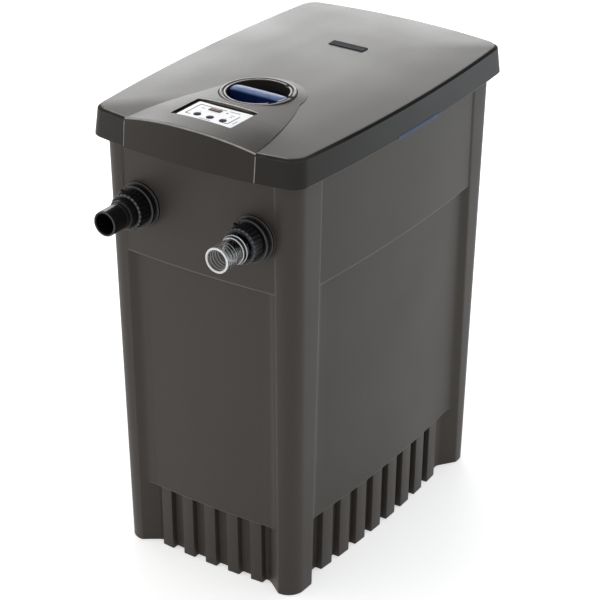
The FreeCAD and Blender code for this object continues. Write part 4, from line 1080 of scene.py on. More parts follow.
@dataclass
class Tank(Assembly):
    """The box: bowed walls with a ledge, four pillars, a ribbed foot, and what is fixed in it.

    A width that grows is a pair: its size at the ground and what it gains with each millimetre.
    """

    ledge: float = 495.4
    foot: float = 104.6
    rim: float = 695.0
    wall: float = 3.5
    floor: float = 5.0
    floor_half: tuple[float, float] = (120.0, 215.0)
    pillar_half: tuple[float, float] = (154.6, 251.8)
    rear_pillar: tuple[float, float] = (34.0, 0.031)
    front_pillar: tuple[float, float] = (48.2, 0.0233)
    end_pillar: tuple[float, float] = (27.5, 0.0105)
    fillet: float = 3.0
    ledge_depth: float = 8.4
    rib_set_back: float = 1.5
    groove: float = 10.0
    band: float = 7.0
    pillar_radius: float = 26.0
    slant: float = 0.73
    side_ribs: tuple[float, ...] = (9.0, 34.0, 52.0, 77.0, 95.0, 120.0, 138.0, 163.0)
    end_ribs: tuple[float, ...] = (10.0, 31.0, 51.0, 72.0, 92.0)
    side_run: float = 171.0
    end_run: float = 98.5
    edge: float = 1.4

    def rows(self) -> Array:
        """Rows of the outside, from the ground to the rim.

        Returns:
            (rows, 5) array of height, panel inset, groove share, inset of everything, and mark, the strength
            of the painted edge highlight.
        """
        rib = self.ledge_depth + self.rib_set_back
        deep = self.ledge_depth
        f, g, r = self.foot, self.ledge, self.rim
        band = r - self.band
        rows = [(0, rib, 1, 1.0, 0), (0.25, rib, 1, 0.4, 0), (0.7, rib, 1, 0.1, 0), (1.4, rib, 1, 0, 0),
                (f * 0.5, rib, 1, 0, 0), (f - 1.2, rib, 1, 0, 0), (f, rib, 1, 0, 0),
                (f, deep + 1.0, 0, 0, 0.5), (f + 0.3, deep + 0.3, 0, 0, 1), (f + 1.0, deep, 0, 0, 0.8),
                (f + 2.2, deep, 0, 0, 0)]
        rows += [(f + (g - f) * share, deep, 0, 0, 0) for share in (0.1, 0.3, 0.5, 0.7, 0.9)]
        rows += [(g - 2.5, deep, 0, 0, 0), (g - 0.6, deep, 0, 0, 0), (g - 0.2, deep - 0.5, 0, 0, 0),
                 (g, deep - 1.2, 0, 0, 0), (g, 1.9, 0, 0, 0.4), (g + 0.5, 0.8, 0, 0, 1),
                 (g + 1.3, 0.2, 0, 0, 1), (g + 2.4, 0, 0, 0, 0.7), (g + 4.0, 0, 0, 0, 0)]
        rows += [(g + (r - g) * share, 0, 0, 0, 0) for share in (0.2, 0.4, 0.6, 0.8)]
        rows += [(band - 0.4, 0, 0, 0, 0), (band, -0.4, 0, 0, 0), (band, -2.6, 0, 0, 0),
                 (band + 0.4, -3, 0, 0, 1), (band + 3.6, -3, 0, 0, 1), (band + 4, -2.6, 0, 0, 0),
                 (band + 4, 0, 0, 0, 0), (r - 0.8, 0, 0, 0, 0), (r - 0.2, 0.2, 0, 0.2, 1),
                 (r, 0.8, 0, 0.8, 0)]
        return np.array(rows, float)

    def flank(self, breaks: tuple[float, ...], last: float) -> tuple[Array, Array]:
        """Places along half a side and their share of the groove.

        A rib's edge is five places: two on its face, one at the edge and two in the groove.

        Args:
            breaks: distances off the middle at which a rib starts or ends.
            last: the furthest place on the panel.

        Returns:
            Places and groove shares.
        """
        grooved_first = len(breaks) % 2 == 0
        places, shares = [0.0], [1.0 if grooved_first else 0.0]
        for number, edge in enumerate(breaks):
            to_rib = (number % 2 == 0) == grooved_first
            way = 1.0 if to_rib else -1.0
            offsets = np.array([-1.2, -0.25, 0.0, 0.35, 1.3]) * way
            amounts = np.array([1.0, 0.96, 0.1, 0.02, 0.0])
            if not to_rib:
                offsets, amounts = offsets[::-1], amounts[::-1]
            places += list(edge + offsets)
            shares += list(amounts)
        stops = np.linspace(breaks[-1] + 3, last, 3)
        return np.array(places + list(stops)), np.array(shares + [1.0] * len(stops))

    def outside(self) -> tuple[Array, Array]:
        """The outside all round: a front and a rear quarter, each mirrored in X.

        Returns:
            (rows, columns, 3) grid and the painted edge highlight marks of its points.
        """
        rear, glint = self.quarter(*self.rear_pillar)
        front = self.quarter(*self.front_pillar)[0]
        half = [np.concatenate([part, part[:, ::-1] * (-1, 1, 1)], 1) for part in (rear, front)]
        glint = np.concatenate([glint, glint[:, ::-1]], 1)
        grid = np.concatenate([half[0], half[1][:, ::-1] * (1, -1, 1)], 1)
        return grid, np.concatenate([glint, glint[:, ::-1]], 1)

    def quarter(self, wide: float, growth: float) -> tuple[Array, Array]:
        """A quarter of the outside as a grid of heights and places.

        On a flank the surface is the further out of the pillar and the bowed panel less its
        inset and its groove. A pillar is flat from its edge outwards and sinks by its slant
        times the distance inwards of the edge, with (v + r)^2 / 4r between them within r of the
        edge. Where slant and panel meet, half of sqrt(gap^2 + k^2) - |gap| fills the corner.

        Args:
            wide: how wide the pillar is along the side at the ground.
            growth: how much wider it gets with each millimetre of height.

        Returns:
            (rows, columns, 3) grid and the painted edge highlight marks of its points.
        """
        z, inset, share, every, marks = (column[:, None] for column in self.rows().T)
        half_x = self.pillar_half[0] + TANK_PLAN.side_draft * z - every
        half_y = self.pillar_half[1] + TANK_PLAN.end_draft * z - every
        v = np.array([28.0, 24.0, 20.5, 17.5, 15.0, 12.5, 10.0, 7.5, 5.0, 3.0, 1.4, 0.7, 0.0, -0.7, -1.4])
        turning = np.clip(v + self.edge, 0.0, 2 * self.edge) ** 2 / (4 * self.edge)
        drop = self.slant * np.where(v > self.edge, v, turning)
        rise = self.fillet * np.clip(v / (2 * self.fillet), 0, 1)
        # Painted highlight along the pillars' edges.
        edge_mark = np.interp(v, [-1.4, 0.0, 1.4, 3.0], [0.1, 0.45, 0.35, 0.0])
        groove = self.groove * share
        quarters, glints = [], []
        for sideways in (True, False):
            breaks = self.side_ribs if sideways else self.end_ribs
            own, other = (half_x, half_y) if sideways else (half_y, half_x)
            width = wide + growth * z if sideways else self.end_pillar[0] + self.end_pillar[1] * z
            start = other + every - width
            places, shares = self.flank(breaks, self.side_run if sideways else self.end_run)
            flat = np.array([8.0, 16.0]) if sideways else np.array([])
            lateral = np.hstack([np.broadcast_to(places, (len(z), len(places))), start - v, start + flat])
            lateral = np.minimum(lateral, other - self.pillar_radius)
            plan = TANK_PLAN.side_at if sideways else TANK_PLAN.end_at
            tail = np.ones(len(v) + len(flat))
            panel = plan(lateral, z, inset + every) - groove * np.concatenate([shares, tail])
            none, last = np.zeros(len(places)), np.zeros(len(flat))
            post = own - np.concatenate([none + 1e6, drop, last])
            fillet = np.concatenate([none, rise, last]) * np.clip(inset / self.ledge_depth, 0, 1)
            gap = np.abs(panel - post)
            face = np.maximum(panel, post) + (np.hypot(gap, fillet) - gap) / 2
            # Painted highlights: the marked foot and ledge rows where the panel stands out, and the pillar
            # edges; cleared within 8 mm of the rim, faint at the ground.
            glint = np.maximum(marks * (panel > post - 0.2), np.concatenate([none, edge_mark, last]))
            glint = np.where(z < self.rim - 8, glint, 0.0) * np.where(z > 1.0, 1.0, 0.3)
            pair = (face, lateral) if sideways else (lateral, face)
            grid = np.stack([pair[0], pair[1], np.broadcast_to(z, face.shape)], -1)
            quarters.append(grid if sideways else grid[:, ::-1])
            glints.append(glint if sideways else glint[:, ::-1])
        turn = np.linspace(0, np.pi / 2, 12)[None]
        x = half_x - self.pillar_radius + self.pillar_radius * np.cos(turn)
        y = half_y - self.pillar_radius + self.pillar_radius * np.sin(turn)
        arc = np.stack([x, y, np.broadcast_to(z, x.shape)], -1)
        quarter = np.concatenate([quarters[0], arc, quarters[1]], 1)
        return quarter, np.concatenate([glints[0], np.zeros_like(x), glints[1]], 1)

    def inside(self, columns: int) -> Array:
        """The hollow, from the rim down to the floor and to the floor's middle.

        Args:
            columns: how many points each row has.

        Returns:
            (rows, columns, 3) grid.
        """
        lower = self.ledge_depth + self.wall
        base = lower + self.rib_set_back + self.groove
        step, shelf = self.ledge + self.wall, self.foot + self.wall
        profile = np.array([(self.rim, self.wall + 0.6), (self.rim - 0.6, self.wall), (step, self.wall),
                            (step, lower - 1), (step - 1, lower), (shelf, lower), (shelf, base - 1),
                            (shelf - 1, base), (self.floor + 2.0, base), (self.floor, base + 2.0)])
        ring = TANK_PLAN.ring(profile[:, 0], profile[:, 1])
        source = np.linspace(0, ring.shape[1], columns, endpoint=False)
        first = np.floor(source).astype(int)
        part = (source - first)[None, :, None]
        ring = ring[:, first] * (1 - part) + ring[:, (first + 1) % ring.shape[1]] * part
        floor = ring[-1][None] * np.array([0.5, 0.0])[:, None, None] * (1, 1, 0) + (0, 0, self.floor)
        return np.concatenate([ring, floor])

    def shell(self) -> None:
        """The whole wall with its floor, cut through at the two unions, the outlet and the gland."""
        outer, glint = self.outside()
        inner = self.inside(outer.shape[1])
        start = np.argmin(np.linalg.norm(outer[-1, :, :2] - inner[0, 0, :2], axis=1))
        inner = np.roll(inner, start, axis=1)
        limit = np.array([*self.floor_half, 0.0])
        ground = np.clip(outer[0], -limit, limit)[None]
        grid = np.concatenate([ground * (0, 0, 1), ground, outer, inner])
        marks = np.concatenate([np.zeros((2, outer.shape[1])), glint, np.zeros(inner.shape[:2])])
        thing = Mould().add(grid, mark=marks).mesh("tank_wall")
        holes = Mould()
        for hole in OPENINGS.values():
            holes.add(stood(slab(circle(hole.bore, 48), *THROUGH_WALL, SHARP), hole.centre(), hole.stand))
        carve(thing, holes)
        self.finish(thing, Finishes.TANK, "tank", Slot.TANK, "tank_shell")

    def bosses(self) -> None:
        """The flat pads that the fittings seat on: rings with a small round at the rim."""
        mould = Mould()
        for hole in OPENINGS.values():
            bore = hole.bore + 0.1
            corners = np.array([(bore, -8.0), (hole.pad, -8.0), (hole.pad, 0.0), (bore, 0.0)])
            profile = soften(corners, np.array([0.1, 0.1, 0.8, 0.1]))
            mould.add(stood(turned(profile), hole.centre(), hole.stand), ring=True)
        self.finish(mould.mesh("tank_pads"), Finishes.TANK, "tank", Slot.TANK)

    def build(self) -> None:
        """Builds the box and dresses what stays as the CAD has it."""
        self.shell()
        self.bosses()
        self.dress(Finishes.TANK_INSIDE, "partition_wall")
        self.dress(Finishes.RUBBER, "rim_gasket", "inlet_flat_seal", "sludge_flat_seal", "outlet_seal")
        self.dress(Finishes.BLACK, "inlet_lock_nut", "sludge_lock_nut", "inlet_elbow", "sludge_riser",
                   "outlet_lock_nut", "uvc_housing", "uvc_brackets", "foam_grid", "foam_retainer",
                   "foam_support_tubes")


@dataclass
class Lid(Assembly):
    """The lid's shell: drafted skirt, rolled edge, shallow crown, and its openings."""

    skirt_low: float = 668.7
    wall: float = 3.2
    turn: float = 709.5
    flat: float = 140.0
    crease: tuple[float, float] = (3.4, 706.6)
    steps: tuple[tuple[float, float], ...] = ((7.0, 710.3), (9.4, 710.49), (60.0, 714.6), (118.0, 716.7))
    under: tuple[tuple[float, float], ...] = ((118.0, 713.5), (60.0, 711.3), (11.5, 706.8), (6.5, 702.4))
    fade: tuple[float, float] = (-262.0, -152.0)
    brow: float = -268.0
    well: float = 55.2
    notch: tuple[float, float, float] = (-46.4, 60.4, 673.4)
    notch_place: float = 183.0
    notch_half: float = 16.0

    def crown(self) -> float:
        """Height of the flat middle of the lid."""
        return self.steps[-1][1]

    def height(self, x: Array, y: Array) -> Array:
        """Height of the crown at a point: it climbs with the distance in from the nearer side.

        Args:
            x: places.
            y: places.

        Returns:
            Heights.
        """
        none = np.zeros_like(x)
        side = LID_PLAN.side_at(np.abs(y), none, none) - np.abs(x)
        end = LID_PLAN.end_at(np.abs(x), none, none) - np.abs(y)
        return np.interp(np.minimum(side, end), *np.array(self.steps).T)

    def draft(self) -> float:
        """How far the skirt leans in with each millimetre of height."""
        return self.crease[0] / (self.crease[1] - self.skirt_low)

    def rearward(self, y: Array) -> Array:
        """Share of the way from the first place of the fade to the second, held at 0 and 1."""
        return np.clip((y - self.fade[0]) / (self.fade[1] - self.fade[0]), 0.0, 1.0)

    def profile(self, depth: float) -> Array:
        """The wall's section as (inset, height): up the outside, over the crown and back inside.

        Args:
            depth: depth of the shadow line cut under the crown's edge, from 0 to 1.

        Returns:
            (n, 2) points.
        """
        w = self.wall
        inset, height = self.crease
        corners = np.array([(0.0, self.skirt_low), (self.draft() * 1.4, self.skirt_low + 1.4),
                            (inset, height), (inset + 1.2 + 1.4 * depth, height + 1.6 - 0.7 * depth),
                            (inset + 2.0 + 1.5 * depth, height + 2.4 - 0.1 * depth), *self.steps,
                            (self.flat, self.crown()), (self.flat, self.crown() - w), *self.under,
                            (w, self.skirt_low)])
        radius = np.array([0.8, 0.1, 0.5, 0.3, 0.3, 0.8, 0.1, 22.0, 20.0, 0.01, 0.01, 20.0, 8.0, 3.0, 2.5,
                           0.8])
        return soften(corners, radius, 6)

    def shell(self) -> None:
        """The shell, with the well, the panel's recess and the latch notches cut through."""
        profile, plain = self.profile(1.0), self.profile(0.0)
        far = profile[:, 0] > self.flat - 1.0
        inner, last = int(np.argmax(far)), len(profile) - int(np.argmax(far[::-1]))
        outer, smooth = (LID_PLAN.ring(rows[:inner, 1], rows[:inner, 0]) for rows in (profile, plain))
        outer = smooth + (outer - smooth) * np.maximum(self.rearward(smooth[..., 1:2]), 0.1)
        under = LID_PLAN.ring(profile[last:, 1], profile[last:, 0])
        share = np.array([0.6, 0.25, 0.0])[:, None, None] * (1, 1, 0)
        top = outer[-1][None] * share + (0, 0, self.crown())
        base = under[0][None] * share[::-1] + (0, 0, self.crown() - self.wall)
        grid = np.concatenate([outer, top, base, under])
        mark = np.zeros(grid.shape[:2])
        rows, y = grid[: len(outer), :1, 2], outer[..., 1]
        crown_edge = self.steps[0][1] - 0.8
        foot, brow = rows < self.skirt_low + 0.9, (rows > crown_edge) & (rows < self.steps[1][1] - 0.05)
        shadow_line = (rows > self.crease[1] - 0.1) & (rows < crown_edge)
        # Painted highlights: along the skirt's foot behind the front, and along the rounded front edge of the
        # crown.
        mark[: len(outer)] = np.where(y > -255.0, foot * 0.55, brow * (y < self.brow) * 0.8)
        # The shadow line's painted shade is lifted to the lid's own tone towards the front.
        mark[: len(outer)] += shadow_line * (1 - self.rearward(y))
        thing = Mould().add(grid, ring=True, mark=mark).mesh("lid_wall")
        slot = half_size("control_housing") + 0.2
        cuts = Mould()
        cuts.add(slab(circle(self.well, 96) + middle("well_ring")[:2], *THROUGH_LID, SHARP))
        cuts.add(slab(rectangle(slot[0], slot[1], 1.5) + middle("control_housing")[:2], *THROUGH_LID, SHARP))
        half = (self.notch[1] - self.notch[0]) / 2
        for side in Side:
            place = (side.value * self.notch_place, self.notch[0] + half)
            cuts.add(slab(rectangle(self.notch_half, half, 0.5) + place, 650.0, self.notch[2], SHARP))
        carve(thing, cuts)
        self.finish(thing, Finishes.LID, "lid", Slot.LID, "lid_shell")
        thing.data.materials.append(Finishes.of(Finishes.SHADED_SKIRT))
        thing.data.materials.append(Finishes.of(Finishes.SHADOW_LINE))
        self.sort_faces(thing.data)

    def sort_faces(self, data: bpy.types.Mesh) -> None:
        """Gives the upright faces a darker copy of the lid's finish, which is painted shade, and the outer
        groove the near-black painted shade of the shadow line.

        A face is on the outside where the level part of its normal points away from the middle.

        Args:
            data: the shell's mesh, with three materials.
        """
        centre, normal = (np.zeros((len(data.polygons), 3)) for _ in range(2))
        data.polygons.foreach_get("center", centre.ravel())
        data.polygons.foreach_get("normal", normal.ravel())
        height = centre[:, 2] / MM
        outward = (centre[:, :2] * normal[:, :2]).sum(1) > 0
        shadow_line = (height > self.crease[1]) & (height < self.turn) & outward
        index = np.where(shadow_line, 2, (height < self.turn) & (np.abs(normal[:, 2]) < 0.4))
        data.polygons.foreach_set("material_index", index.astype(np.int32))

    def rib(self) -> None:
        """The rib under the lid that presses on the gasket, and the latches' round guides."""
        heights = np.array([698.0, 710.6, 710.6, 698.0])
        insets = np.array([0.4, 0.4, 4.0, 4.0])
        insets = insets + TANK_PLAN.side_draft * (heights - 700)
        mould = Mould().add(TANK_PLAN.ring(heights, insets), ring=True)
        for side in Side:
            for y in (-28.0, 42.0):
                path = np.linspace((side.value * 176.0, y, 678.5), (side.value * 186.4, y, 678.5), 6)
                mould.add(tube(path, 2.0))
        self.finish(mould.mesh("lid_rib"), Finishes.LID, "lid", Slot.LID)

    def screws(self) -> None:
        """Four domed screws under the lid, each with a cross recess in its head."""
        head = 3.6
        start, end = low("console_screws") + head, high("console_screws") - head
        under = float(low("console_screws")[2])
        corners = np.array([(0.02, 0.0), (2.2, 0.3), (head, 1.3), (head, 2.2), (1.5, 2.2), (1.5, 6.0),
                            (0.02, 6.2)])
        profile = soften(corners + (0.0, under), np.array([0.01, 1.2, 0.3, 0.2, 0.2, 0.3, 0.01]), 4)
        mould, cuts = Mould(), Mould()
        for x in (start[0], end[0]):
            for y in (start[1], end[1]):
                mould.add(turned(profile, 40) + (x, y, 0.0), ring=True)
                for half in ((2.0, 0.35), (0.35, 2.0)):
                    cuts.add(slab(rectangle(*half, 0.1) + (x, y), under - 1.0, under + 1.0, SHARP))
        thing = mould.mesh("cover_screws")
        carve(thing, cuts)
        self.finish(thing, Finishes.STEEL, "lid", Slot.STEEL, "console_screws")

    def build(self) -> None:
        """Builds the lid's pieces."""
        self.shell()
        self.rib()
        self.screws()


@dataclass
class Console(Assembly):
    """The arched tongue on the lid, with the round well and the control panel let into it."""

    lid: Lid
    front_half: tuple[float, float] = (109.0, 110.4)
    round_half: tuple[float, float] = (61.0, 71.0)
    round_depth: float = 66.5
    proud: float = 0.35
    thick: float = 2.0
    edge: float = 2.2
    shoulder: float = 710.2
    left_gap: float = 6.8
    rear_gap: float = 5.0
    stations: tuple[float, float, float] = (-295.0, -248.0, -117.0)
    crests: tuple[float, float, float] = (722.4, 722.3, 721.6)
    arch: float = 2.2
    well: float = 56.3
    lip_radius: float = 2.3
    ways: tuple[float, ...] = (-295.0, -283.0, -240.0, -207.0, -177.0, -148.0, -117.0)
    lefts: tuple[float, ...] = (109.5, 108.5, 99.0, 89.0, 79.5, 70.0, 61.0)
    rights: tuple[float, ...] = (111.0, 110.4, 107.0, 101.0, 93.0, 84.0, 71.0)

    def top(self, x: Array, y: Array) -> Array:
        """Height of the tongue: border + (crest - border)(1 - s^n), where s is 1 at its sides.

        Args:
            x: places.
            y: places.

        Returns:
            Heights.
        """
        heart = self.stations[2]
        half = self.half(x, y)
        reach = np.where(x < 0, *self.round_half)
        behind = y > heart
        oval = np.hypot(x / reach, (y - heart) / self.round_depth)
        s = np.where(behind, oval, np.abs(x / np.maximum(half, 1e-6)))
        crest = np.interp(y, self.stations, self.crests)
        border = self.lid.height(np.where(behind, reach, half), np.minimum(y, heart)) + self.proud
        return border + (crest - border) * (1 - np.minimum(s, 1.0) ** self.arch)

    def half(self, side: Array, y: Array) -> Array:
        """Half width of the tongue: long tapers, then the oval end behind the well.

        Args:
            side: below zero for the left half.
            y: places.

        Returns:
            Half widths.
        """
        left, right = (np.interp(y, self.ways, halves) for halves in (self.lefts, self.rights))
        straight = np.where(side < 0, left, right)
        share = np.clip((y - self.stations[2]) / self.round_depth, 0.0, 1.0)
        oval = np.where(side < 0, *self.round_half) * np.sqrt(1 - share**2)
        return np.where(y > self.stations[2], oval, straight)

    def front(self, x: Array, z: Array) -> Array:
        """Y of the skirt's drafted front face at places across it, a hair proud of it."""
        inset = self.lid.draft() * (z - self.lid.skirt_low)
        return -LID_PLAN.end_at(np.abs(x), np.zeros_like(z), inset) - self.proud

    def skin(self) -> tuple[Array, Array, Array]:
        """The outer face, the way inwards from it and its painted highlight marks.

        Rows run from the round end forwards over the top, down a quarter circle of the edge's
        radius at the front, and down the apron. Columns run across, dense at both borders.

        Returns:
            (rows, columns, 3) grid, (rows, columns, 3) inward ways and (rows, columns) marks.
        """
        s = np.sin(np.linspace(-np.pi / 2, np.pi / 2, 61))[None]
        s = np.sign(s) * np.abs(s) ** 0.9
        side = np.where(s < 0, *self.front_half)
        xf = np.broadcast_to(s * side, (1, s.shape[1]))
        end_z = self.shoulder + self.proud
        crest_z = end_z + (self.crests[0] - end_z) * (1 - np.abs(xf / side) ** self.arch)
        phi = np.linspace(0, np.pi / 2, 7)[:, None]
        zr = crest_z - self.edge * (1 - np.cos(phi))
        yr = self.front(np.broadcast_to(xf, zr.shape), zr) + self.edge * (1 - np.sin(phi))
        way_r = np.stack(np.broadcast_arrays(np.zeros_like(zr), np.sin(phi), -np.cos(phi)), -1)
        heart = self.stations[2]
        rear = heart + self.round_depth * np.cos(np.linspace(0, np.pi / 2, 10))[:-1, None]
        ahead = heart + (yr[:1] + 0.8 - heart) * np.linspace(0, 1, 44)[:, None]
        y = np.concatenate([np.broadcast_to(rear, (len(rear), s.shape[1])), ahead])
        x = s * self.half(s, y)
        z = self.top(x, y)
        way = np.broadcast_to(np.array([0.0, 0.0, -1.0]), (*x.shape, 3))
        share = np.array([0.03, 0.1, 0.3, 0.5, 0.7, 0.9, 0.985, 1.0])[:, None]
        za = (crest_z - self.edge) * (1 - share) + self.lid.skirt_low * share
        xa = np.broadcast_to(xf, za.shape)
        ya = self.front(xa, za)
        way_a = np.broadcast_to(np.array([0.0, 1.0, 0.0]), (*za.shape, 3))
        strips = ((x, y, z), (np.broadcast_to(xf, zr.shape), yr, zr), (xa, ya, za))
        grid = np.concatenate([np.stack(strip, -1) for strip in strips])
        mark = np.zeros(grid.shape[:2])
        rows = len(y)
        # Painted highlight along the rounding of the front edge.
        mark[rows + 2 : rows + 6] = 1.0
        ways = np.concatenate([way, way_r, way_a])
        # Painted highlight along both borders.
        mark[:, [0, -1]] = np.maximum(mark[:, [0, -1]], 0.35)
        return grid, ways, mark

    def cover(self) -> None:
        """The tongue as a closed skin, with the well and the recess cut through it."""
        grid, ways, mark = self.skin()
        inner = grid + ways * self.thick
        lip = np.abs(np.linspace(-1, 1, grid.shape[1]))[None, :, None]
        inner = inner + np.where(lip > 0.999, ways * 1.5, 0.0)
        rows = np.concatenate([grid, inner[::-1]])
        marks = np.concatenate([mark, np.zeros_like(mark)])
        mould = Mould().add(rows, loop=False, ring=True, mark=marks)
        for column in (0, -1):
            mould.add(np.stack([grid[:, column], inner[:, column]]), loop=False)
        thing = mould.mesh("console")
        cuts = Mould()
        cuts.add(slab(circle(self.well, 96) + middle("well_ring")[:2], *THROUGH_LID, SHARP))
        start, end = self.recess()
        cuts.add(slab(rectangle(*((end - start) / 2), 2.0) + (start + end) / 2, *THROUGH_LID, SHARP))
        carve(thing, cuts)
        self.finish(thing, Finishes.CONSOLE, "lid", Slot.LID, "console_cover")

    def recess(self) -> tuple[Array, Array]:
        """The recess's two opposite corners: the housing with a gap at its left and its rear."""
        start, end = low("control_housing")[:2] - 0.2, high("control_housing")[:2] + 0.2
        return start - (self.left_gap, 0.0), end + (0.0, self.rear_gap)

    def bed(self) -> None:
        """A black sheet on the lid in the gaps beside the housing: painted shade for the shadow in those
        gaps.
        """
        start, end = self.recess()
        lid_top = self.lid.crown()
        left_strip = (start, np.array([start[0] + self.left_gap - 0.3, end[1]]))
        rear_strip = (np.array([start[0] + self.left_gap, end[1] - self.rear_gap + 0.3]), end)
        mould = Mould()
        for first, last in (left_strip, rear_strip):
            outline = rectangle(*((last - first) / 2), 0.5) + (last + first) / 2
            mould.add(slab(outline, lid_top - 0.3, lid_top + 0.35, 0.1))
        # Painted shade: black where the gaps fall in shadow.
        self.finish(mould.mesh("recess_painted_shade"), Finishes.BLACK, "lid", Slot.BLACK)

    def lips(self) -> None:
        """The rolled lip along the recess's rear edge, all in the console's painted highlight colour."""
        start, end = self.recess()
        x = np.linspace(start[0] - 1.0, end[0] + 1.5, 40)
        y = np.full_like(x, end[1] + 2.2)
        z = self.top(x, y) - 1.5
        share = (x - start[0] - 0.25) / (end[0] - start[0] + 2.5) * 2 - 1
        taper = self.lip_radius * np.sqrt(np.clip(1 - np.abs(share) ** 8, 0.05, 1))
        mould = Mould().add(tube(np.stack([x, y, z], 1), taper, 12), mark=1.0)
        self.finish(mould.mesh("recess_lip"), Finishes.CONSOLE, "lid", Slot.LID)

    def seams(self) -> None:
        """A bead where the apron meets the skirt on each side, pale with a painted highlight."""
        mould = Mould()
        z = np.linspace(self.lid.skirt_low + 1.0, self.lid.crease[1] - 0.6, 12)
        for side in Side:
            x = np.full_like(z, side.value * (self.front_half[side is Side.RIGHT] + 0.2))
            path = np.stack([x, self.front(x, z) + 0.25, z], 1)
            mould.add(tube(path, 0.75, 8), mark=0.8)
        self.finish(mould.mesh("console_seams"), Finishes.CONSOLE, "lid", Slot.LID)

    def build(self) -> None:
        """Builds the tongue and its trims."""
        self.cover()
        self.bed()
        self.lips()
        self.seams()


@dataclass
class WellRing(Assembly):
    """The ring that lines the well, with bayonet notches in its rim."""

    bore: float = 45.0
    reach: float = 55.0
    flange: tuple[float, float] = (710.9, 713.5)
    notches: tuple[tuple[float, float, float], ...] = ((62.0, 9.0, 2.6), (8.0, 7.0, 3.4), (-28.0, 16.0, 2.2))

    def build(self) -> None:
        """Turns the ring's section and sinks its rim at the notches."""
        bottom, top = levels("well_ring")
        start, end = self.flange
        corners = np.array([(self.bore, bottom), (self.reach, bottom), (self.reach, start), (60.0, start),
                            (60.0, end), (self.reach, end), (self.reach, top - 1.2), (self.reach - 2.0, top),
                            (51.0, top - 0.2), (50.0, top - 2.4), (48.6, top - 2.4), (47.8, top - 0.4),
                            (self.bore + 0.8, top - 0.4), (self.bore, top - 1.4)])
        radius = np.array([0.5, 0.5, 0.3, 0.5, 0.5, 0.3, 1.0, 1.2, 0.6, 0.3, 0.3, 0.6, 0.7, 0.7])
        grid = turned(soften(corners, radius, 4), 240)
        angle, reach, _ = polar(grid)
        for place, width, depth in self.notches:
            off = np.abs((np.degrees(angle) - place + 180) % 360 - 180)
            share = np.clip((width / 2 + 0.7 - off) / 0.7, 0, 1)
            inner = (reach < 50.5) if depth < 3 else (reach < 56)
            grid[..., 2] -= share * inner * np.clip(grid[..., 2] - (top - 3.0), 0, depth)
        # Painted highlight on the ring's top edges, strongest on the inner rim.
        mark = np.clip((grid[..., 2] - (top - 0.9)) / 0.4, 0, 1) * np.where(reach < 50.0, 0.9, 0.45)
        mould = Mould().add(grid + middle("well_ring") * (1, 1, 0), ring=True, mark=mark)
        self.finish(mould.mesh("well_rim"), Finishes.RIM, "lid", Slot.LID, "well_ring")


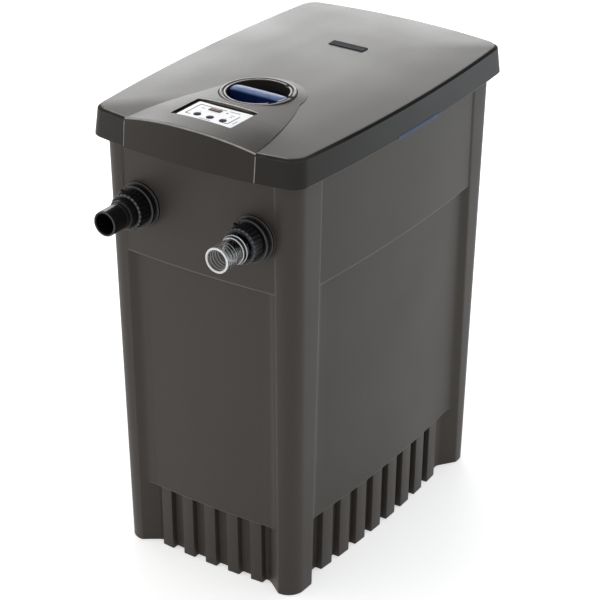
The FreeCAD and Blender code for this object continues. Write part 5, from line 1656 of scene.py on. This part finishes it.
@dataclass
class ControlUnit(Assembly):
    """The white panel with its outline, display and three buttons, the housing and the badge."""

    corner: float = 6.0
    ink: float = 0.7
    names: tuple[str, ...] = ("button_left", "button_middle", "button_right")

    def panel(self) -> None:
        """The panel: a plate with round corners and holes for the buttons."""
        half = half_size("control_panel")
        bottom, top = levels("control_panel")
        radius = np.array([self.corner, 2.5, 2.5, 2.5])
        outline = rectangle(half[0], half[1], radius, 8) + middle("control_panel")[:2]
        thing = Mould().add(slab(outline, bottom, top, 0.5)).mesh("panel_plate")
        cuts = Mould()
        for name in self.names:
            cuts.add(slab(circle(5.75, 40) + middle(name)[:2], bottom - 1, top + 1, SHARP))
        carve(thing, cuts)
        self.finish(thing, Finishes.PANEL, "lid", Slot.PANEL, "control_panel")

    def outline(self) -> None:
        """The printed frame round the controls and small marks over the buttons, as thin inlays."""
        centre = middle("control_panel")
        top = float(high("control_panel")[2]) + 0.12
        w = self.ink
        thin = w * 0.7
        bars = [((-38.0, 1.7), (w, 18.0)), ((33.5, -2.3), (w, 15.0)), ((-16.0, 19.7), (22.0, w)),
                ((28.5, -17.3), (5.0, w)), ((-34.0, -16.3), (4.0, w)), ((-2.0, -21.5), (9.0, thin)),
                ((20.0, 19.7), (9.0, thin)), ((40.0, -9.0), (thin, 6.0)), ((12.0, 12.5), (1.6, 1.4)),
                ((-21.5, -3.8), (1.3, 0.4)), ((21.5, -3.8), (1.3, 0.4)), ((-27.0, 10.5), (3.0, thin)),
                ((24.0, 8.5), (3.0, thin)), ((24.0, 4.0), (2.0, thin))]
        mould = Mould()
        for (x, y), (a, b) in bars:
            mould.add(slab(rectangle(a, b, min(a, b) * 0.9, 3) + centre[:2] + (x, y), top - 0.3, top, 0.05))
        self.finish(mould.mesh("panel_outline"), Finishes.INK, "lid", Slot.BUTTON)

    def display(self) -> None:
        """The display's window: a glossy block in a thin frame."""
        half = half_size("display_window")
        outline = rectangle(half[0], half[1], 1.2) + middle("display_window")[:2]
        mould = Mould().add(slab(outline, *levels("display_window"), 0.3, 0.15))
        self.finish(mould.mesh("display_glass"), Finishes.DISPLAY, "lid", Slot.DISPLAY, "display_window")

    def digits(self) -> None:
        """Two unlit figures on the display, each of seven bars."""
        centre, top = middle("display_window"), float(high("display_window")[2]) + 0.14
        tall, wide, w = 2.4, 1.5, 0.32
        bars = [((0, tall), (wide, w)), ((0, 0), (wide, w)), ((0, -tall), (wide, w))]
        bars += [((x * wide, y * tall / 2), (w, tall / 2)) for x in (-1, 1) for y in (-1, 1)]
        mould = Mould()
        for place in (-3.6, 3.6):
            for (x, y), (a, b) in bars:
                outline = rectangle(a * 0.86, b * 0.86, 0.2, 3) + centre[:2] + (x + place + y * 0.12, y)
                mould.add(slab(outline, top - 0.2, top, 0.04))
        self.finish(mould.mesh("display_digits"), Finishes.SEGMENT, "lid", Slot.DISPLAY)

    def buttons(self) -> None:
        """Three domed buttons."""
        for name in self.names:
            bottom, top = levels(name)
            grid = slab(circle(5.4, 48) + middle(name)[:2], bottom, top - 0.55, 0.7, 0.55)
            self.finish(Mould().add(grid).mesh(f"{name}_cap"), Finishes.BUTTON, name, Slot.BUTTON, name)

    def badge(self) -> None:
        """The blank badge: a plate with a raised rim."""
        bottom, top = levels("nameplate")
        half = half_size("nameplate")
        outline = rectangle(half[0], half[1], 1.6, 10)
        section = ((0.0, bottom), (0.0, top - 0.3), (0.15, top - 0.08), (0.4, top), (1.1, top),
                   (1.4, top - 0.25), (1.6, top - 0.3))
        flat = np.zeros(len(outline))
        rows = [np.column_stack([shrunk(outline, inset), flat + height]) for inset, height in section]
        rows += [rows[-1] * (share, share, 1) for share in (0.9, 0.5, 0.0)]
        rows.insert(0, rows[0] * (0, 0, 1))
        mark = np.zeros((len(rows), len(outline)))
        # Painted highlight on the raised rim.
        mark[3:6] = 0.35
        mould = Mould().add(np.array(rows) + (*middle("nameplate")[:2], 0), mark=mark)
        self.finish(mould.mesh("badge_plate"), Finishes.NAMEPLATE, "lid", Slot.NAMEPLATE, "nameplate")

    def build(self) -> None:
        """Builds the controls and dresses the housing and its board."""
        self.panel()
        self.outline()
        self.display()
        self.digits()
        self.buttons()
        self.badge()
        self.dress(Finishes.BLACK, "control_housing")
        self.dress(Finishes.BOARD, "circuit_board")


@dataclass
class Latch(Assembly):
    """A latch: a plate with a nose at its top and a toothed tab at its foot."""

    side: Side
    drop: float = 1.8
    nose: float = 3.0
    sheet: float = 2.5
    tab: float = 4.0
    teeth: int = 23

    def build(self) -> None:
        """Carries the latch's section along Y, drawn in to a point in the sheet at both ends."""
        node = f"latch_{self.side.name.lower()}"
        start, end = low(node), high(node)
        inner, outer = sorted((abs(float(start[0])), abs(float(end[0]))))
        bottom, top = levels(node)
        plate = inner + self.nose
        back = plate + self.sheet
        foot, shelf = bottom - self.drop, bottom + self.tab
        section = np.array([(plate, foot), (outer, foot), (outer, shelf), (back, shelf), (back, top),
                            (inner, top), (inner, top - self.nose), (plate, top - self.nose)])
        section = soften(section, np.array([0.5, 1.4, 1.4, 0.5, 0.6, 0.5, 0.5, 0.3]), 5)
        lead, share = np.array([0.0, 0.0, 0.4, 1.4]), np.array([0.0, 0.86, 0.97, 1.0])
        run = np.linspace(start[1] + 8, end[1] - 8, 2 * self.teeth)
        ys = np.concatenate([start[1] + lead, run, end[1] - lead[::-1]])
        squeeze = np.concatenate([share, np.ones_like(run), share[::-1]])
        centre = np.array([plate + 1.6, bottom + 2.4])
        ripple = 0.35 * np.sin(np.linspace(0, self.teeth * 2 * np.pi, len(ys))) * (squeeze == 1.0)
        rows = centre + (section[None] - centre) * squeeze[:, None, None]
        toothed = rows[..., 0] > plate + 3.2
        x = rows[..., 0] - toothed * np.maximum(ripple, 0)[:, None]
        grid = np.stack([self.side.value * x, np.broadcast_to(ys[:, None], x.shape), rows[..., 1]], -1)
        # Painted highlight over the toothed tab.
        mark = toothed * 0.3
        thing = Mould().add(grid, mark=mark).mesh(f"{node}_slide")
        self.finish(thing, Finishes.BLUE, node, Slot.BLUE, node)


@dataclass
class Union(Assembly):
    """A hose union on the front wall: bulkhead, fluted nut and stepped hose tail."""

    name: str
    clear: bool = False
    flutes: int = 24
    pitch: float = 4.0
    notch: tuple[float, float] = (128.0, 13.0)

    def __post_init__(self) -> None:
        """Reads the union's place from the frame."""
        self.centre = OPENINGS[self.name].centre()

    def stand(self, grid: Array) -> Array:
        """Stands the points of an upright grid on the front wall."""
        return stood(grid, self.centre, Stand.FRONT)

    def bulkhead(self) -> None:
        """The bulkhead: flange, neck, a collar with a notch and a threaded spigot.

        The collar's radius drops across the notch, which is a place round it and a half width in
        degrees. The thread is a slow wave of the spigot's radius that climbs one pitch a turn.
        """
        end = OPENINGS[self.name].reach
        corners = np.array([(15.0, -22.0), (22.0, -22.0), (22.0, -1.0), (34.0, 0.0), (34.0, 3.0), (32.6, 4.2),
                            (28.0, 4.2), (27.0, 5.0), (27.0, 7.2), (30.5, 7.4), (32.0, 8.6), (32.0, 13.2),
                            (30.8, 14.4), (22.0, 14.4), (22.0, end), (15.0, end)])
        radius = np.array([0.4, 0.6, 0.3, 0.4, 0.9, 0.9, 0.5, 0.6, 0.3, 0.8, 0.8, 0.9, 0.9, 0.5, 0.8, 0.8])
        grid = turned(soften(corners, radius, 4), 180)
        angle, reach, height = polar(grid)
        place, spread = np.radians(self.notch)
        off = np.abs((angle - place + np.pi) % (2 * np.pi) - np.pi)
        notch = np.clip((spread - off) / 0.03, 0, 1)
        collar = (height > 7.3) & (height < 14.5) & (reach > 26.0)
        cut = notch * collar * (reach - 26.0) * 0.9
        spigot = (height > 15.5) & (height < 27.0) & (reach > 21.0)
        thread = spigot * 0.4 * (1 + np.cos(2 * np.pi * height / self.pitch - angle))
        grid = swollen(grid, (reach - cut - thread) / reach)
        # Painted highlight on the flange's two outer rims.
        mark = ((reach > 30.0) & (reach < 31.9) | (reach > 32.8) & (reach < 33.9)) * 0.5
        thing = Mould().add(self.stand(grid), ring=True, mark=mark).mesh(f"{self.name}_bulkhead_body")
        self.finish(thing, Finishes.BLACK, "tank", Slot.BLACK, f"{self.name}_bulkhead")

    def nut(self) -> None:
        """The union nut: its radius is scalloped by |cos| waves between two plain rims."""
        corners = np.array([(22.35, 15.4), (25.8, 15.4), (27.0, 16.6), (27.0, 33.4), (25.4, 35.6),
                            (21.35, 35.6), (21.35, 32.05), (22.35, 32.0)])
        radius = np.array([0.5, 0.8, 0.8, 1.5, 1.2, 0.5, 0.2, 0.2])
        profile = soften(corners, radius, 5)
        extra = np.column_stack([np.full(8, 27.0), np.linspace(17.4, 33.0, 8)])
        first = int(np.argmax((profile[:, 1] > 16.9) & (profile[:, 0] > 26.5)))
        profile = np.insert(profile, first, extra, axis=0)
        grid = turned(profile, self.flutes * 12)
        angle, reach, height = polar(grid)
        wave = np.abs(np.cos(angle * self.flutes / 2)) ** 0.7
        depth = 1.15 * (1 - wave) * np.clip((reach - 24.0) / 2.4, 0, 1) * np.clip((height - 16.6) / 0.8, 0, 1)
        grid = swollen(grid, (reach - depth) / reach)
        # Painted highlight on the nut's upper rim, strongest on the flute crests.
        mark = np.clip((height - 33.2) / 0.8, 0, 1) * np.clip((reach - 24.2) / 0.8, 0, 1)
        mark = mark * np.clip(wave * 1.6 - 0.3, 0.15, 1) * 0.9
        thing = Mould().add(self.stand(grid), ring=True, mark=mark).mesh(f"{self.name}_nut_body")
        finish = Finishes.BLUE_BLACK if self.clear else Finishes.BLACK
        self.finish(thing, finish, f"{self.name}_nut", Slot.BLACK, f"{self.name}_union_nut")

    def tail(self) -> None:
        """The hose tail: flange, collar, a stepped neck and a barrel whose lip has a painted highlight."""
        end = self.mouth()
        neck = [(15.0, 28.2), (22.0, 28.2), (22.0, 31.7), (21.0, 31.7), (21.0, 43.4), (20.4, 46.4),
                (18.5, 46.4)]
        if self.clear:
            rings = [(18.5, 50.0), (18.0, 50.6), (18.0, 52.0), (18.5, 52.6)]
        else:
            rings = [(18.5, 52.0), (18.1, 52.4), (18.1, 53.4), (18.5, 53.8)]
        tip = [(18.5, end - 3.4), (18.6, end - 2.0), (18.4, end - 0.4), (17.6, end), (16.0, end),
               (15.2, end - 1.2)]
        grid = turned(soften(np.array(neck + rings + tip), 0.7, 4), 120)
        _, reach, height = polar(grid)
        # Painted highlight round the mouth's outer lip.
        mark = np.clip((height - (end - 0.8)) / 0.5, 0, 1) * np.clip((reach - 16.6) / 0.8, 0, 1) * 0.55
        thing = Mould().add(self.stand(grid), ring=True, mark=mark).mesh(f"{self.name}_tail_body")
        finish, slot = (Finishes.CLEAR, Slot.CLEAR) if self.clear else (Finishes.BLACK, Slot.BLACK)
        self.finish(thing, finish, f"{self.name}_tail", slot, f"{self.name}_hose_tail")

    def mouth(self) -> float:
        """How far the hose tail's mouth stands off the pad."""
        return float(self.centre[1] - low(f"{self.name}_hose_tail")[1])

    def hoops(self, name: str, finish: Moulding, hoops: tuple[Hoop, ...]) -> None:
        """Pale opaque hoops at a clear tail's edges and threads: painted highlights standing in for the light
        these edges catch.

        Args:
            name: the piece's name.
            finish: the hoops' pale finish, which paints the highlight.
            hoops: for each hoop its radius, its height and its half sizes across and along.
        """
        turn = np.linspace(0, 2 * np.pi, 12, endpoint=False)
        mould = Mould()
        for radius, height, across, along in hoops:
            profile = np.column_stack([radius + across * np.cos(turn), height + along * np.sin(turn)])
            mould.add(self.stand(turned(profile, 120)), ring=True)
        self.finish(mould.mesh(name), finish, f"{self.name}_tail", Slot.CLEAR)

    def build(self) -> None:
        """Builds the union and dresses its seal."""
        self.bulkhead()
        self.nut()
        self.tail()
        if self.clear:
            end = self.mouth()
            # Painted highlights on the clear tail: pale hoops at the mouth, shoulder and collar, and fainter
            # ones on the inner threads.
            edges = ((16.8, end - 0.95, 1.55, 0.9), (18.4, end - 36.5, 0.75, 0.8),
                     (20.6, end - 41.5, 0.5, 0.9))
            threads = tuple((15.1, end - 7.0 - 5.6 * step, 0.5, 0.5) for step in range(4))
            self.hoops("tail_edge_glints", Finishes.CLEAR_EDGE_GLINT, edges)
            self.hoops("tail_thread_glints", Finishes.CLEAR_RIB_GLINT, threads)
        self.dress(Finishes.RUBBER, f"{self.name}_tail_seal")


@dataclass
class Clarifier(Assembly):
    """The lift-out head with its grip, sleeve and lamp."""

    reach: float = 43.0
    half_width: float = 10.5
    floor: float = 2.4
    roll: float = 2.4
    crown: float = 0.9

    def grip(self) -> None:
        """The grip: a round dish and a straight bar across it with rolled edges.

        The bar's half width at a place x along it is the smaller of its own and the dish's
        sqrt(R^2 - x^2). Its section is an upright side, a quarter circle and a shallow crown.
        """
        bottom, top = levels("uvc_grip")
        centre = middle("uvc_grip") * (1, 1, 0)
        bed = bottom + self.floor
        corners = np.array([(0.01, bottom), (self.reach, bottom), (self.reach, bed), (0.01, bed)])
        dish = soften(corners, np.array([0.01, 0.5, 0.9, 0.01]), 4)
        mould = Mould().add(turned(dish, 120) + centre, ring=True)
        reach = self.reach - 0.15
        x = (reach * np.sin(np.linspace(-np.pi / 2, np.pi / 2, 61)))[:, None]
        half = np.minimum(self.half_width, np.sqrt(reach**2 - x**2)) + 1e-4
        roll = np.minimum(self.roll, half * 0.9)
        a = np.linspace(0, np.pi / 2, 7)
        flat = np.array([0.75, 0.5, 0.25, 0.0])
        crest = top - self.crown * (1 + np.abs(x / reach) ** 6)
        side = np.hstack([half, half, half - roll + roll * np.cos(a), (half - roll) * flat])
        level = np.full_like(x, bed - 0.6)
        top_rows = crest + self.crown * (1 - flat**2)
        tall = np.hstack([level, level + 3.0, crest - roll * (1 - np.sin(a)), top_rows])
        y, z = np.hstack([side, -side[:, -2::-1]]), np.hstack([tall, tall[:, -2::-1]])
        grid = np.stack([np.broadcast_to(x, y.shape), y, z], -1)
        # Painted highlight along the bar's rolled edges and over its top.
        rolled = np.concatenate([[0.0, 0.0], np.sin(a), [0.95, 0.85, 0.8, 0.75]])
        mark = np.broadcast_to(np.concatenate([rolled, rolled[-2::-1]]), y.shape) * 0.9
        mould.add(grid + centre, mark=mark)
        self.finish(mould.mesh("grip_bar"), Finishes.BLUE, "uvc_grip", Slot.BLUE, "uvc_grip")

    def build(self) -> None:
        """Builds the grip and dresses the rest as the CAD has it."""
        self.grip()
        self.dress(Finishes.BLACK, "uvc_head")
        self.dress(Finishes.RUBBER, "uvc_seal_ring")
        self.dress(Finishes.QUARTZ, "quartz_sleeve")
        self.dress(Finishes.LAMP, "uvc_lamp")
        self.dress(Finishes.CERAMIC, "lamp_socket")


@dataclass
class FoamStack(Assembly):
    """The foam slabs, three fine ones below three coarse ones."""

    slabs: int = 3
    gap: float = 0.3
    tubes: tuple[tuple[float, float], ...] = ((-60.0, 100.0), (60.0, 100.0))

    def stack(self, node: str, finish: Foam, slot: Slot) -> None:
        """Slabs with soft edges and a gently uneven face, pierced by the two support tubes.

        Args:
            node: the CAD node that the slabs stand for.
            finish: their finish.
            slot: the record's slot.
        """
        start, end = low(node), high(node)
        thick = (end[2] - start[2] - self.gap * (self.slabs - 1)) / self.slabs
        centre = (end[:2] + start[:2]) / 2
        outline = rectangle(*half_size(node)[:2], 5.0)
        step = np.linspace(0, 1, 9)[:-1, None]
        outline = (outline[:, None] * (1 - step) + np.roll(outline, -1, 0)[:, None] * step).reshape(-1, 2)
        mould = Mould()
        for number in range(self.slabs):
            bottom = start[2] + number * (thick + self.gap)
            grid = slab(outline + centre, bottom + 0.2, bottom + thick - 0.2, 2.5)
            x, y, z = np.moveaxis(grid, -1, 0)
            wave = np.sin(x * 0.11 + number) * np.sin(y * 0.09 + 2 * number) * np.cos(z * 0.21)
            away = grid[..., :2] - centre
            size = np.maximum(np.linalg.norm(away, axis=-1, keepdims=True), 1e-6)
            grid[..., :2] -= away / size * (0.35 * (1 + wave))[..., None]
            mould.add(grid)
        thing = mould.mesh(f"{node}_slabs")
        holes = Mould()
        for place in self.tubes:
            holes.add(slab(circle(20.4, 48) + place, start[2] - 5, end[2] + 5, SHARP))
        carve(thing, holes)
        self.finish(thing, finish, "tank", slot, node)

    def build(self) -> None:
        """Builds both stacks."""
        self.stack("coarse_foams", Finishes.COARSE, Slot.COARSE_FOAM)
        self.stack("fine_foams", Finishes.FINE, Slot.FINE_FOAM)


@dataclass
class RearFittings(Assembly):
    """The wide outlet spigot and the cable gland on the rear wall."""

    def outlet(self) -> None:
        """The outlet: a flange and a plain spigot with a rounded lip."""
        hole = OPENINGS["outlet"]
        end = hole.reach
        corners = np.array([(34.3, -21.0), (37.5, -21.0), (37.5, -0.5), (50.0, 0.0), (50.0, 4.0),
                            (49.0, 5.0), (39.0, 5.0), (37.5, 7.0), (37.5, end - 3.0), (36.6, end),
                            (34.9, end), (34.3, end - 1.5)])
        radius = np.array([0.5, 0.5, 0.3, 0.6, 0.8, 0.8, 1.6, 1.6, 1.2, 1.0, 0.6, 0.8])
        grid = turned(soften(corners, radius, 5), 144)
        # Painted highlight round the spigot's lip.
        mark = np.clip(grid[..., 2] - (end - 1.4), 0, 1) * 0.7
        thing = Mould().add(stood(grid, hole.centre(), hole.stand), ring=True,
                            mark=mark).mesh("outlet_spigot")
        self.finish(thing, Finishes.BLACK, "tank", Slot.BLACK, hole.node)

    def gland(self) -> None:
        """The gland: a hexagon foot whose radius is a / cos of the angle off each flat, and a domed cap."""
        hole = OPENINGS["gland"]
        end = hole.reach
        corners = np.array([(4.0, -22.0), (7.5, -22.0), (7.5, 0.0), (11.0, 0.0), (11.0, 7.0), (9.4, 8.0),
                            (9.4, 10.5), (8.4, end - 2.0), (6.4, end), (4.6, end), (4.0, end - 0.6)])
        grid = turned(soften(corners, 0.6, 4), 96)
        angle, reach, height = polar(grid)
        off = (angle + np.pi / 6) % (np.pi / 3) - np.pi / 6
        foot = (height > -0.2) & (height < 7.2) & (reach > 9.0)
        grid = swollen(grid, np.where(foot, np.minimum(9.6 / np.cos(off) / reach, 1.0), 1.0))
        thing = Mould().add(stood(grid, hole.centre(), hole.stand), ring=True).mesh("gland_body")
        self.finish(thing, Finishes.BLACK, "tank", Slot.BLACK, hole.node)

    def build(self) -> None:
        """Builds both fittings."""
        self.outlet()
        self.gland()


@dataclass
class SludgePump(Assembly):
    """The pump in the chamber, dressed as the CAD has it."""

    def build(self) -> None:
        """Dresses the pump's nodes."""
        self.dress(Finishes.BLACK, "pump_volute", "pump_motor", "pump_impeller")
        self.dress(Finishes.BLUE_BLACK, "pump_strainer")
        self.dress(Finishes.STEEL, "pump_shaft")


# ---------------- studio


@dataclass
class Studio:
    """The pale floor and backdrop, soft lamps and the camera."""

    place: tuple[float, float, float] = (1624.9, -2413.0, 1833.3)
    azimuth: float = 34.06
    elevation: float = 27.118
    roll: float = 0.273
    lens: float = 129.14
    lift: float = 0.5

    def camera(self) -> None:
        """The camera, looking down its own -Z: its axes are right, up and back, rolled together."""
        az, el, roll = (math.radians(value) for value in (self.azimuth, self.elevation, self.roll))
        back = Vector((math.sin(az) * math.cos(el), -math.cos(az) * math.cos(el), math.sin(el)))
        right = Vector((math.cos(az), math.sin(az), 0.0))
        up = back.cross(right)
        turned_right = right * math.cos(roll) + up * math.sin(roll)
        turned_up = up * math.cos(roll) - right * math.sin(roll)
        data = bpy.data.cameras.new("view")
        data.lens, data.sensor_width, data.clip_end = self.lens, 36.0, 40.0
        thing = bpy.data.objects.new("view", data)
        bpy.context.scene.collection.objects.link(thing)
        basis = Matrix((turned_right, turned_up, back)).transposed().to_4x4()
        thing.matrix_world = Matrix.Translation(Vector(self.place) * MM) @ basis
        bpy.context.scene.camera = thing

    def paper(self) -> bpy.types.Material:
        """Pale paper that the camera sees as plain white wherever no shadow falls on it.

        Returns:
            The material.
        """
        material, wires, shader = blank("paper")
        place = wires.place()
        seen = wires.seen()
        speck = wires.spread(wires.noise(place, 90.0, 2.0), 0.3, 0.7, 0.995, 1.0)
        wires.feed(shader, {
            "Base Color": wires.dim(rgba((0.93, 0.93, 0.93)), speck),
            "Emission Color": rgba((1.0, 1.0, 1.0)),
            "Emission Strength": wires.spread(seen, 0.0, 1.0, 0.0, self.lift),
            "Roughness": 0.9,
            "Specular IOR Level": 0.1,
        })
        return material

    def floor(self) -> None:
        """The floor: one wide level sheet."""
        reach = np.array([-9000.0, 9000.0])
        grid = np.stack(np.meshgrid(reach, reach, indexing="ij"), -1)
        grid = np.concatenate([grid, np.full((2, 2, 1), -0.3)], -1)
        thing = Mould().add(grid, loop=False).mesh("floor")
        if thing.data.polygons[0].normal.z < 0:
            thing.data.flip_normals()
        thing.data.materials.append(self.paper())

    def lamp(self, name: str, place: tuple[float, float, float], size: tuple[float, float], watts: float,
             tint: Colour = (1.0, 1.0, 1.0)) -> None:
        """A soft lamp that faces the box.

        Args:
            name: the lamp's name.
            place: where it hangs, in metres.
            size: its width and height in metres.
            watts: its power.
            tint: its colour.
        """
        data = bpy.data.lights.new(name, "AREA")
        data.shape, data.size, data.size_y, data.energy = "RECTANGLE", *size, watts
        data.color = tint
        thing = bpy.data.objects.new(name, data)
        bpy.context.scene.collection.objects.link(thing)
        thing.location = place
        aim = Vector((0.0, 0.0, 0.5)) - Vector(place)
        thing.rotation_euler = aim.to_track_quat("-Z", "Y").to_euler()
        thing.visible_camera = False

    def sky(self) -> None:
        """A pale surround, brighter behind and to the left, and plain white where it is seen."""
        world = bpy.data.worlds.new("surround")
        bpy.context.scene.world = world
        world.use_nodes = True
        wires = Wiring(world.node_tree)
        seen = wires.seen()
        way = wires.node("ShaderNodeTexCoord").outputs["Generated"]
        inputs = {0: way, 1: (-0.35, 0.45, 0.82)}
        lean = wires.node("ShaderNodeVectorMath", inputs, operation="DOT_PRODUCT").outputs[1]
        around = wires.spread(lean, -0.35, 1.0, 0.16, 0.75)
        strength = wires.total(wires.product(around, wires.sum("SUBTRACT", 1.0, seen)), seen)
        wires.feed(world.node_tree.nodes["Background"],
                   {"Color": rgba((1.0, 1.0, 1.0)), "Strength": strength})

    def build(self) -> None:
        """Sets up the whole studio."""
        self.camera()
        self.floor()
        self.sky()
        self.lamp("rear_softbox", (-1.25, 1.75, 1.2), (1.4, 0.5), 14.0)
        self.lamp("top_softbox", (-0.3, -0.2, 3.0), (1.8, 1.8), 12.0)
        self.lamp("right_fill", (1.5, 1.9, 0.6), (0.9, 0.9), 8.0, (0.76, 0.91, 1.0))
        self.lamp("front_fill", (-1.35, -1.25, 0.75), (0.8, 0.8), 3.6, (1.0, 0.97, 0.93))
        self.lamp("camera_fill", (1.35, -2.0, 1.5), (0.4, 0.4), 5.0)
        bpy.context.scene.view_settings.view_transform = "Standard"


def main() -> None:
    """Builds the studio and every sub-assembly in order."""
    logging.basicConfig(level=logging.INFO, format="%(name)s: %(message)s", force=True)
    lid = Lid()
    parts = [Studio(), Tank(), FoamStack(), RearFittings(), SludgePump(), lid, Console(lid), WellRing(),
             ControlUnit(), Latch(Side.LEFT), Latch(Side.RIGHT), Union("inlet"), Union("sludge", clear=True),
             Clarifier()]
    for part in parts:
        LOG.info("building %s", type(part).__name__)
        part.build()


if __name__ == "__main__":
    main()
